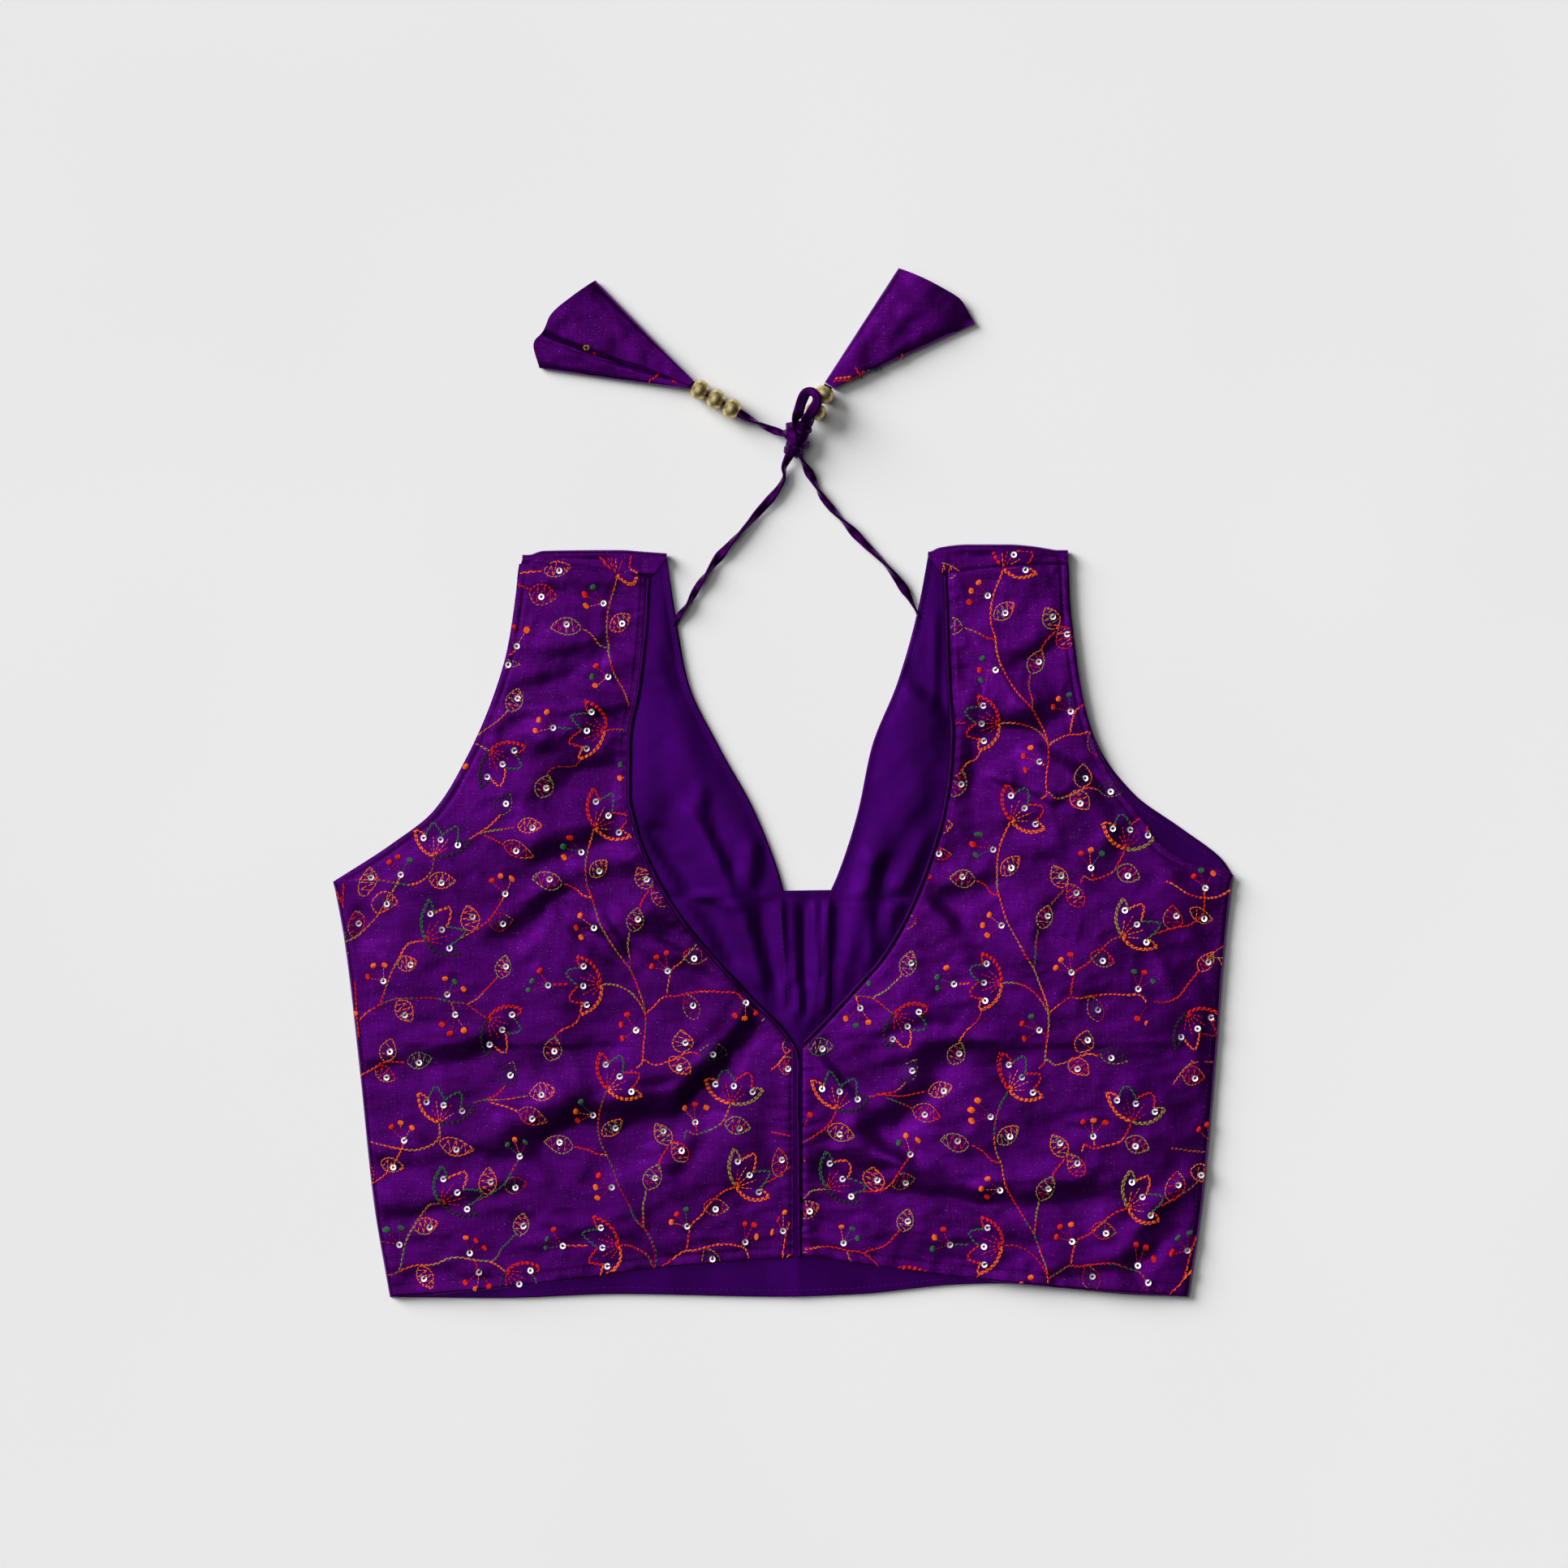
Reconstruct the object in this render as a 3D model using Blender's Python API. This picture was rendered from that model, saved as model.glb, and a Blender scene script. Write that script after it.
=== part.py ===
"""Choli blouse laid flat on its back, front side up, its two neck ties knotted above the neck.

X runs to the viewer's right, Y up the garment and Z off the table. The tables are in millimetres,
and MM turns them into metres. The origin is the middle of the blouse, on the table.
"""

import math

import bmesh
import bpy
import numpy as np

MM = 0.001

# Cloth and seams
SATIN_WALL = 1.2
LINING_WALL = 1.0
FRONT_WALL = 1.3
SEAM_GAP = 0.3
LINING_INSET = 0.8
PIPING_WIDTH = 2.4
PIPING_HEIGHT = 1.6
PIPING_SIDES = 6

# The lining lies on the back
LINING_BASE = SATIN_WALL + SEAM_GAP

# Outlines: (y, x) down each edge
LEFT_ARMHOLE = (
    (186.0, -126.5),
    (177.0, -131.8),
    (160.7, -133.9),
    (136.3, -137.9),
    (111.9, -145.3),
    (79.3, -159.9),
    (54.9, -175.4),
    (38.7, -196.1),
    (19.9, -225.2),
)
LEFT_SIDE = ((19.9, -225.2), (-10.2, -219.7), (-75.3, -212.0), (-140.4, -205.1), (-188.8, -196.9))
RIGHT_ARMHOLE = (
    (188.0, 136.5),
    (181.1, 142.4),
    (160.7, 143.4),
    (136.3, 146.1),
    (111.9, 150.1),
    (87.0, 158.5),
    (63.1, 176.6),
    (46.8, 199.4),
    (30.5, 220.5),
    (23.2, 225.2),
)
RIGHT_SIDE = ((23.2, 225.2), (-10.2, 221.4), (-75.3, 216.1), (-140.4, 210.0), (-188.8, 203.0))
BACK_NECK_LEFT = (
    (186.0, -59.2),
    (151.0, -53.7),
    (120.0, -47.6),
    (87.5, -32.1),
    (54.9, -14.2),
    (22.4, -1.6),
    (13.4, 0.8),
)
BACK_NECK_RIGHT = (
    (188.0, 74.0),
    (155.0, 67.5),
    (120.0, 57.4),
    (87.5, 44.4),
    (54.9, 37.4),
    (22.4, 26.9),
    (13.4, 22.8),
)
FRONT_NECK_LEFT = (
    (183.1, -65.5),
    (144.4, -68.0),
    (116.0, -71.2),
    (92.8, -75.7),
    (64.0, -76.3),
    (48.5, -73.0),
    (27.8, -65.3),
    (3.1, -51.0),
    (-20.3, -31.5),
    (-37.1, -16.0),
    (-51.4, -1.6),
    (-61.8, 6.6),
)
FRONT_NECK_RIGHT = (
    (183.1, 77.5),
    (170.9, 79.8),
    (147.3, 80.6),
    (116.0, 81.8),
    (92.6, 83.3),
    (73.2, 82.0),
    (48.5, 77.5),
    (27.8, 71.0),
    (5.7, 61.9),
    (-15.1, 50.2),
    (-34.5, 33.4),
    (-50.1, 19.1),
    (-61.8, 7.6),
)
CENTRE_FRONT = ((-61.8, 7.0), (-168.1, 8.1), (-190.0, 8.3))
# The right front is cut in from the back at its armhole, where the lining shows
RIGHT_FRONT_ARMHOLE = (
    (188.0, 136.5),
    (181.1, 142.4),
    (160.7, 143.4),
    (136.3, 146.1),
    (111.9, 150.1),
    (87.0, 157.6),
    (69.2, 166.8),
    (50.0, 181.5),
    (40.7, 187.6),
    (33.8, 196.9),
    (29.3, 207.5),
    (26.9, 219.3),
    (23.2, 225.2),
)

# Edges that run across: (x, y)
BACK_HEM = (
    (-197.0, -188.4),
    (-140.0, -188.8),
    (-83.0, -186.8),
    (0.0, -188.2),
    (36.0, -187.0),
    (90.0, -181.9),
    (108.0, -181.5),
    (136.0, -183.5),
    (177.0, -187.2),
    (203.0, -188.2),
)
LEFT_FRONT_HEM = ((-197.0, -187.9), (-183.0, -187.0), (-107.8, -179.5), (-59.0, -173.0), (7.3, -168.0))
RIGHT_FRONT_HEM = ((8.5, -166.4), (35.8, -170.9), (90.0, -178.2), (145.0, -183.5), (203.0, -187.9))
LEFT_SHOULDER = ((-126.5, 183.6), (-120.0, 185.6), (-82.0, 186.0), (-70.0, 185.2), (-59.2, 184.4))
RIGHT_SHOULDER = (
    (74.0, 185.2),
    (78.0, 187.2),
    (93.0, 188.8),
    (113.0, 188.8),
    (124.0, 188.0),
    (136.5, 186.0),
)
LEFT_SHOULDER_SEAM = ((-131.0, 179.0), (-105.0, 177.6), (-82.0, 174.4), (-66.0, 172.4))
RIGHT_SHOULDER_SEAM = ((79.0, 173.6), (100.0, 176.4), (120.0, 178.0), (142.0, 178.4))

# Folds, each a soft ridge (height above 0) or trough (below 0) from one place to the other
# Columns: from x, from y, to x, to y, height, half width
FRONT_FOLDS = (
    # left strap and bust
    (-115.6, 121.7, -92.0, 133.0, -1.0, 6.0),
    (-112.0, 108.0, -94.0, 114.0, 1.2, 8.0),
    (-108.0, 84.0, -92.0, 88.0, -1.8, 12.0),
    (-128.0, 52.0, -104.0, 58.0, 1.4, 16.0),
    (-115.6, 5.3, -133.9, -13.0, -1.7, 5.0),
    (-115.6, 8.5, -85.0, -19.1, -1.7, 5.0),
    (-66.7, -0.8, -35.8, -15.9, -1.6, 4.5),
    (-155.4, -43.5, -178.0, -20.0, 2.2, 22.0),
    (-118.0, -50.0, -112.0, -34.0, 2.4, 19.0),
    # left waist: the deep diagonal fold from the vee, and the hollow it opens into
    (-17.5, -40.7, -35.8, -68.0, -2.4, 7.0),
    (-35.8, -68.0, -54.1, -89.5, -3.0, 8.5),
    (-54.1, -89.5, -82.0, -89.5, -2.8, 8.0),
    (-82.0, -92.0, -106.0, -112.0, -2.4, 14.0),
    (-60.0, -46.0, -68.0, -62.0, 1.8, 12.0),
    (-34.0, -46.0, -46.0, -58.0, 1.6, 6.0),
    (-24.0, -104.0, -42.0, -124.0, 2.4, 17.0),
    (-140.0, -118.0, -150.0, -140.0, 1.8, 20.0),
    (-207.0, -68.0, -158.0, -70.0, -1.4, 4.5),
    (-201.0, -138.0, -168.0, -141.0, -1.2, 4.5),
    (-92.0, -140.0, -70.0, -158.0, 1.2, 12.0),
    # right strap and bust
    (84.0, 150.0, 97.0, 128.0, -1.1, 6.0),
    (92.0, 106.0, 106.0, 88.0, -1.8, 11.0),
    (118.0, 96.0, 136.0, 80.0, -1.2, 4.5),
    (116.0, 80.0, 134.0, 94.0, -1.0, 4.5),
    (140.0, 60.0, 156.0, 44.0, 1.8, 14.0),
    (88.0, 20.0, 102.0, 4.0, -2.2, 14.0),
    (140.0, -8.0, 176.0, -26.0, 2.2, 26.0),
    # right waist: creases out of the vee and the long fold above the hem
    (22.4, -65.1, 55.7, -98.5, -2.4, 6.0),
    (65.1, -65.1, 111.0, -68.0, -2.2, 8.0),
    (60.0, -36.0, 84.0, -44.0, 1.8, 14.0),
    (78.0, -98.0, 104.0, -106.0, 1.8, 14.0),
    (150.0, -88.0, 172.0, -106.0, 2.2, 22.0),
    (25.2, -123.3, 55.7, -129.4, -2.2, 6.0),
    (55.7, -129.4, 98.9, -135.5, -2.6, 7.0),
    (98.9, -135.5, 153.8, -138.3, -2.2, 7.0),
    (22.4, -117.2, 68.4, -147.7, -1.2, 4.0),
    (68.4, -147.7, 123.3, -163.2, -1.2, 4.5),
    (209.1, -132.2, 181.5, -163.2, -1.8, 6.0),
    (181.5, -163.2, 144.9, -172.1, -1.6, 6.0),
)
LINING_FOLDS = (
    # left of the neck
    (-62.0, 96.0, -50.0, 76.0, 1.0, 12.0),
    (-57.0, 129.4, -68.8, 126.1, 0.8, 4.0),
    (-44.0, 58.0, -25.0, 8.0, 1.3, 5.0),
    (-60.0, 30.0, -42.0, 2.0, -1.0, 6.0),
    (-52.0, 34.0, -25.0, -18.0, 1.1, 4.0),
    # right of the neck
    (55.7, 118.8, 78.0, 94.0, 0.8, 5.0),
    (68.4, 69.6, 40.0, 34.0, 1.2, 6.0),
    (40.0, 34.0, 34.6, -13.0, 1.3, 5.0),
    (55.7, 20.0, 54.0, 4.0, -1.0, 8.0),
)

# How far the fronts stand off the lining between their seams, and over what distance they rise
FRONT_LIFT = 2.4
FRONT_LIFT_REACH = 20.0
NECK_LIFT = 0.5
LEAST_LIFT = 0.3
FRONT_SOFTNESS = 0.35
# The share of that lift that is left at the neck edge
NECK_SHARE = 0.35
# Straps lie flatter: from what height, over what distance, and how much
STRAP_LEVEL = 95.0
STRAP_BLEND = 14.0
STRAP_PRESSED = 0.45
SIDE_SEAM_IN = 2.0
SIDE_SEAM_REACH = 6.0

# How far the lining stands off the back where it shows in the neck
LINING_LIFT = 1.1
LINING_LIFT_REACH = 9.0
LINING_UNDER_FRONT = 5.0
LINING_SOFTNESS = 0.2
SHOULDER_LEVEL = 178.0
SHOULDER_FADE = 30.0
FOLD_FADE = 9.0

# Grids of the panels. Each level gives y at every edge, and the rows up to it
HEM_LEVEL = -188.0
HEM_REACH = 90.0
STRAP_BEND_FROM = 100.0
SHOULDER_FOLD_LEVEL = 180.0
SHOULDER_FOLD_ANGLES = 6
SHOULDER_FOLD_IN = 3.0
OVER_ROWS = 2
BACK_COUNTS = (9, 2, 9)
BACK_LEVELS = (
    ((HEM_LEVEL,) * 4, 0),
    ((13.4,) * 4, 8),
    ((19.9, 21.0, 22.0, 23.2), 1),
    ((STRAP_BEND_FROM,) * 4, 8),
    ((SHOULDER_FOLD_LEVEL,) * 4, 5),
)
BACK_NECK_ROW = 8

LINING_BEND_FROM = 130.0
LINING_TOP_LEVEL = 176.0
LINING_SHORT_OF_SHOULDER = 3.4
LINING_COUNTS = (13, 3, 13)
LINING_LEVELS = (
    ((HEM_LEVEL,) * 4, 0),
    ((-70.0,) * 4, 3),
    ((13.4 - LINING_INSET,) * 4, 8),
    ((19.9, 21.0, 22.0, 23.2), 1),
    ((LINING_BEND_FROM,) * 4, 12),
    ((LINING_TOP_LEVEL,) * 4, 3),
)
LINING_NECK_ROW = 11

FRONT_COLUMNS = 15
FRONT_TOP_LEVEL = 170.0
VEE_LEVEL = -64.6
FRONT_LEFT_LEVELS = (
    ((HEM_LEVEL, HEM_LEVEL), 0),
    ((-62.0, VEE_LEVEL), 11),
    ((19.9, 19.9), 7),
    ((176.0, FRONT_TOP_LEVEL), 14),
)
FRONT_RIGHT_LEVELS = (
    ((HEM_LEVEL, HEM_LEVEL), 0),
    ((VEE_LEVEL, -62.0), 11),
    ((19.9, 23.2), 7),
    ((FRONT_TOP_LEVEL, 176.0), 14),
)

# The piping of the neck: how it is divided, and how it turns at the foot of the vee
PIPING_STEP = 7.0
PIPING_TURN = 5.0
PIPING_TOP = 172.0
PIPING_PLACES = 34
PIPING_FOOT = 0.9
PIPING_RAISED = 0.2

# Ties, knot and bow: (x, y, z) along each cord's middle
TIE_RADIUS = 2.1
TIE_REST = TIE_RADIUS + 0.1
TIE_STEP = 8.0
BENT_TIE_STEP = 3.2
PATH_FINENESS = 24
LEFT_TIE = (
    (-52.2, 152.9, TIE_REST),
    (-46.8, 160.4, TIE_REST),
    (-42.0, 168.9, TIE_REST),
    (-33.8, 180.4, TIE_REST),
    (-26.7, 189.0, TIE_REST),
    (-19.1, 197.3, TIE_REST),
    (-12.0, 205.3, TIE_REST),
    (-4.9, 213.4, TIE_REST),
    (-0.6, 219.6, TIE_REST),
    (0.6, 223.6, TIE_REST + 0.3),
    (0.4, 227.4, TIE_REST + 1.0),
    (2.9, 232.8, TIE_REST + 1.9),
)
RIGHT_TIE = (
    (65.8, 157.1, TIE_REST),
    (60.6, 166.4, TIE_REST),
    (51.5, 178.4, TIE_REST),
    (41.0, 189.0, TIE_REST),
    (33.0, 197.3, TIE_REST),
    (25.4, 205.5, TIE_REST),
    (18.9, 213.6, TIE_REST),
    (14.8, 221.6, TIE_REST + 0.3),
    (11.7, 226.8, TIE_REST + 1.0),
    (8.9, 232.5, TIE_REST + 1.9),
)
LEFT_END = (
    (1.3, 243.5, 4.3),
    (-7.3, 246.8, 3.4),
    (-15.0, 250.6, 3.9),
    (-20.4, 253.4, 4.8),
    (-25.7, 256.4, 5.2),
    (-33.7, 261.1, 5.2),
    (-41.7, 265.8, 5.2),
    (-46.3, 268.6, 4.8),
)
RIGHT_END = (
    (13.3, 248.8, 5.0),
    (14.9, 252.2, 5.2),
    (16.3, 255.2, 5.2),
    (20.3, 263.5, 5.2),
    (22.6, 267.9, 5.0),
)
BOW_LOOP = (
    (4.5, 249.5, 6.8),
    (5.8, 254.2, 8.0),
    (7.4, 260.2, 9.6),
    (10.6, 264.5, 11.6),
    (14.8, 265.0, 12.8),
    (17.4, 261.6, 13.0),
    (17.0, 257.4, 12.8),
    (13.6, 253.2, 11.4),
    (9.8, 249.8, 8.4),
)
KNOT_MIDDLE = (7.5, 240.5, 4.4)
KNOT_HALF_HEIGHT = 4.3
KNOT_RINGS = 7
KNOT_TURN = 15
KNOT_ROUNDNESS = 0.8
# Columns: degrees round from +X, reach
KNOT_REACH = (
    (-180.0, 6.0),
    (-135.0, 7.4),
    (-95.0, 7.9),
    (-60.0, 6.2),
    (-20.0, 4.2),
    (15.0, 5.0),
    (45.0, 9.8),
    (70.0, 9.8),
    (95.0, 9.2),
    (130.0, 7.0),
    (180.0, 6.0),
)

# Beads on the ties: across, along, and the bore that the tie runs through
BEAD_RADIUS = 5.0
BEAD_HALF_LENGTH = 4.4
BEAD_BORE = 2.6
BEAD_SEGMENTS = 14
BEAD_ARC_POINTS = 8
LEFT_BEADS = ((-25.7, 256.4, 5.2), (-33.7, 261.1, 5.2), (-41.7, 265.8, 5.2))
RIGHT_BEADS = ((16.3, 255.2, 5.2), (20.3, 263.5, 5.2))

# Tassels, folded from a square of the blouse's satin: the tip, then the wide end from one corner
# to the other. Columns of the wide end: x, y, height of the upper fold
TASSEL_WALL = 1.0
TASSEL_FLOOR = 0.1
TASSEL_HOLLOW_FROM = 0.22
TASSEL_ROWS = 7
TASSEL_TIP_WIDTH = 5.6
TASSEL_TIP_HEIGHT = 5.0
# At its two side folds the cloth opens by this much, and its wall is pinched
TASSEL_SIDE_OPENING = 2.4
TASSEL_SIDE_WALL = 0.45
TASSEL_SIDE_PULL = 1.4
LEFT_TASSEL_TIP = (-46.8, 268.9)
LEFT_TASSEL_END = (
    (-94.0, 321.0, 3.6),
    (-105.0, 312.9, 6.0),
    (-115.6, 304.0, 6.6),
    (-119.6, 295.8, 6.0),
    (-124.9, 288.9, 5.4),
    (-122.1, 277.1, 3.6),
)
RIGHT_TASSEL_TIP = (23.1, 268.3)
RIGHT_TASSEL_END = (
    (96.0, 299.5, 3.6),
    (92.4, 305.6, 5.4),
    (87.9, 312.0, 6.0),
    (75.7, 319.0, 6.6),
    (66.0, 323.6, 6.0),
    (57.8, 327.1, 3.6),
)

# Finishes: name, colour, roughness, metallic
FINISHES = {
    "satin": ((0.075, 0.004, 0.20), 0.38, 0.0),
    "lining": ((0.045, 0.003, 0.14), 0.55, 0.0),
    "piping": ((0.05, 0.003, 0.15), 0.5, 0.0),
    "tie": ((0.05, 0.003, 0.15), 0.5, 0.0),
    "bead": ((0.46, 0.33, 0.10), 0.3, 1.0),
}


def clear_scene():
    for thing in list(bpy.data.objects):
        bpy.data.objects.remove(thing, do_unlink=True)


def finish(name):
    """The named finish as a Principled material."""
    material = bpy.data.materials.get(name)
    if material is None:
        colour, roughness, metallic = FINISHES[name]
        material = bpy.data.materials.new(name)
        material.use_nodes = True
        shader = material.node_tree.nodes["Principled BSDF"]
        shader.inputs["Base Color"].default_value = (*colour, 1.0)
        shader.inputs["Roughness"].default_value = roughness
        shader.inputs["Metallic"].default_value = metallic
    return material


def mesh_object(name, points, faces, finish_name):
    """A smooth-shaded object from points in millimetres."""
    mesh = bpy.data.meshes.new(name)
    mesh.from_pydata([tuple(float(c) * MM for c in point) for point in points], [], faces)
    work = bmesh.new()
    work.from_mesh(mesh)
    bmesh.ops.recalc_face_normals(work, faces=work.faces)
    work.to_mesh(mesh)
    work.free()
    mesh.materials.append(finish(finish_name))
    mesh.shade_smooth()
    thing = bpy.data.objects.new(name, mesh)
    bpy.context.scene.collection.objects.link(thing)
    return thing


def read(table, at):
    """A smooth curve through (position, value) rows that never overshoots them, read at some positions."""
    rows = np.array(sorted(row[:2] for row in table), float)
    places, values = rows[:, 0], rows[:, 1]
    at = np.clip(np.asarray(at, float), places[0], places[-1])
    steps = np.diff(places)
    slopes = np.diff(values) / steps
    tangents = np.zeros(len(places))
    tangents[0], tangents[-1] = slopes[0], slopes[-1]
    for k in range(1, len(places) - 1):
        before, after = slopes[k - 1], slopes[k]
        if before * after > 0:
            weight = 2 * steps[k] + steps[k - 1], steps[k] + 2 * steps[k - 1]
            tangents[k] = sum(weight) / (weight[0] / before + weight[1] / after)
    cell = np.clip(np.searchsorted(places, at) - 1, 0, len(steps) - 1)
    width = steps[cell]
    t = (at - places[cell]) / width
    return (
        (1 + 2 * t) * (1 - t) ** 2 * values[cell]
        + t * (1 - t) ** 2 * width * tangents[cell]
        + t**2 * (3 - 2 * t) * values[cell + 1]
        - t**2 * (1 - t) * width * tangents[cell + 1]
    )


def moved_in(table, distance):
    """An edge's (y, x) rows moved sideways by a distance, square to the edge; positive is towards +X."""
    rows = np.array(table, float)
    run = np.gradient(rows, axis=0)
    run /= np.hypot(run[:, 0], run[:, 1])[:, None]
    return tuple(zip(rows[:, 0] + distance * run[:, 1], rows[:, 1] - distance * run[:, 0]))


def folds(table, x, y):
    """The height that the folds of a table add at each place."""
    total = np.zeros(np.broadcast(x, y).shape)
    for x0, y0, x1, y1, height, half_width in table:
        run_x, run_y = x1 - x0, y1 - y0
        along = ((x - x0) * run_x + (y - y0) * run_y) / (run_x**2 + run_y**2)
        along = np.clip(along, 0, 1)
        away = np.hypot(x - x0 - along * run_x, y - y0 - along * run_y)
        total = total + height * np.exp(-((away / half_width) ** 2))
    return total


def rising(distance, reach):
    """0 at an edge and 1 well inside it."""
    return 1 - np.exp(-((np.maximum(distance, 0) / reach) ** 2))


def outer_left(y):
    return np.where(np.asarray(y) > LEFT_SIDE[0][0], read(LEFT_ARMHOLE, y), read(LEFT_SIDE, y))


def outer_right(y):
    return np.where(np.asarray(y) > RIGHT_SIDE[0][0], read(RIGHT_ARMHOLE, y), read(RIGHT_SIDE, y))


def front_outer_right(y):
    return np.where(
        np.asarray(y) > RIGHT_SIDE[0][0], read(RIGHT_FRONT_ARMHOLE, y), read(RIGHT_SIDE, y)
    )


LEFT_PANEL_NECK = moved_in(FRONT_NECK_LEFT, -(PIPING_WIDTH + SEAM_GAP))
RIGHT_PANEL_NECK = moved_in(FRONT_NECK_RIGHT, PIPING_WIDTH + SEAM_GAP)
CENTRE_HALF_GAP = PIPING_WIDTH / 2 + SEAM_GAP


def front_inner_left(y):
    """Where the left front ends towards the neck and the centre front."""
    return np.minimum(read(LEFT_PANEL_NECK, y), read(CENTRE_FRONT, y) - CENTRE_HALF_GAP)


def front_inner_right(y):
    return np.maximum(read(RIGHT_PANEL_NECK, y), read(CENTRE_FRONT, y) + CENTRE_HALF_GAP)


def lining_top(x, y):
    """The lining's upper face: it lifts off the back inside the neck, where its folds show."""
    inside_front = np.maximum(read(FRONT_NECK_LEFT, y) - x, x - read(FRONT_NECK_RIGHT, y))
    shown = 1 / (1 + np.exp(np.clip(inside_front / LINING_UNDER_FRONT, -60, 60)))
    left_of_gap = read(BACK_NECK_LEFT, y) - x
    right_of_gap = x - read(BACK_NECK_RIGHT, y)
    below_gap = BACK_NECK_LEFT[-1][0] - y
    from_neck = np.maximum(np.maximum(left_of_gap, right_of_gap), below_gap)
    lift = LINING_LIFT * rising(from_neck, LINING_LIFT_REACH) * rising(SHOULDER_LEVEL - y, SHOULDER_FADE)
    wave = folds(LINING_FOLDS, x, y) * rising(from_neck, FOLD_FADE)
    height = shown * (lift + wave)
    softened = 0.5 * (height + np.sqrt(height**2 + LINING_SOFTNESS**2) - LINING_SOFTNESS)
    return LINING_BASE + LINING_WALL + softened


def front_bottom(x, y):
    """The fronts' underside: down on the lining at the seams, lifted by the folds between them."""
    left_side = x - outer_left(y)
    right_side = front_outer_right(y) - x
    from_side = np.minimum(left_side, right_side)
    from_neck = np.maximum(read(FRONT_NECK_LEFT, y) - x, x - read(FRONT_NECK_RIGHT, y))
    from_neck = np.where(np.asarray(y) < FRONT_NECK_LEFT[-1][0], FRONT_LIFT_REACH, from_neck)
    strap = 1 / (1 + np.exp(-(np.asarray(y) - STRAP_LEVEL) / STRAP_BLEND))
    share = NECK_SHARE + (1 - NECK_SHARE) * rising(from_neck, FRONT_LIFT_REACH)
    share = share * rising(from_side, FRONT_LIFT_REACH) * (1 - STRAP_PRESSED * strap)
    lift = NECK_LIFT + (FRONT_LIFT - NECK_LIFT) * share
    lift = lift * rising(from_side + SIDE_SEAM_IN, SIDE_SEAM_REACH)
    wave = folds(FRONT_FOLDS, x, y) * rising(from_side, FOLD_FADE)
    rise = lift + wave - LEAST_LIFT
    rise = LEAST_LIFT + 0.5 * (rise + np.sqrt(rise**2 + FRONT_SOFTNESS**2))
    return lining_top(x, y) + SEAM_GAP + rise


def front_top(x, y):
    return front_bottom(x, y) + FRONT_WALL


def sheet(name, finish_name, lower, upper, present):
    """One closed body of cloth between two grids of points, over the cells that are present."""
    rows, columns = present.shape
    used = np.zeros((rows + 1, columns + 1), bool)
    for r in range(rows):
        for c in range(columns):
            if present[r, c]:
                used[r : r + 2, c : c + 2] = True
    index = -np.ones(used.shape, int)
    index[used] = np.arange(used.sum())
    count = int(used.sum())
    points = np.concatenate([upper[used], lower[used]])
    faces = []
    for r in range(rows):
        for c in range(columns):
            if not present[r, c]:
                continue
            corners = ((r, c), (r, c + 1), (r + 1, c + 1), (r + 1, c))
            ring = [int(index[corner]) for corner in corners]
            faces.append(ring)
            faces.append([k + count for k in reversed(ring)])
            beyond = ((r - 1, c), (r, c + 1), (r + 1, c), (r, c - 1))
            for k, (nr, nc) in enumerate(beyond):
                inside = 0 <= nr < rows and 0 <= nc < columns and present[nr, nc]
                if not inside:
                    a, b = ring[k], ring[(k + 1) % 4]
                    faces.append([a + count, b + count, b, a])
    return mesh_object(name, points, faces, finish_name)


def row_across(edges, counts, y):
    """Points of one row, evenly spread between the edges at their own heights."""
    xs = [np.array([edges[0](y[0])], float)]
    ys = [np.array([y[0]], float)]
    for k, count in enumerate(counts):
        steps = np.linspace(0, 1, count + 1)[1:]
        start, end = float(edges[k](y[k])), float(edges[k + 1](y[k + 1]))
        xs.append(start + (end - start) * steps)
        ys.append(y[k] + (y[k + 1] - y[k]) * steps)
    return np.concatenate(xs), np.concatenate(ys)


def grid_between(levels, edges, counts):
    """x and y of a grid whose rows run across a panel, row by row up its levels."""
    xs, ys = [], []
    previous = None
    for level, steps in levels:
        level = np.array(level, float)
        if previous is None:
            x, y = row_across(edges, counts, level)
            xs.append(x)
            ys.append(y)
        else:
            for step in range(1, steps + 1):
                x, y = row_across(edges, counts, previous + (level - previous) * step / steps)
                xs.append(x)
                ys.append(y)
        previous = level
    return np.array(xs), np.array(ys)


def follow_hem(x, y, hem, nominal, reach):
    """The rows near the bottom bent to follow the hem."""
    near = np.clip(1 - (y - nominal) / reach, 0, 1) ** 1.5
    return y + (read(hem, x) - nominal) * near


def edge_of(table):
    return lambda y: read(table, y)


def shoulder_y(x):
    return np.where(x < 0, read(LEFT_SHOULDER, x), read(RIGHT_SHOULDER, x))


def seam_y(x):
    return np.where(x < 0, read(LEFT_SHOULDER_SEAM, x), read(RIGHT_SHOULDER_SEAM, x))


def fold_radius(x, y):
    return front_top(x, y) / 2


def open_neck(grid, neck_row, counts):
    """The cells of a back piece: all of them below the neck, and those of the straps above it."""
    present = np.ones((grid.shape[0] - 1, grid.shape[1] - 1), bool)
    present[neck_row:, counts[0] : counts[0] + counts[1]] = False
    return present


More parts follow.
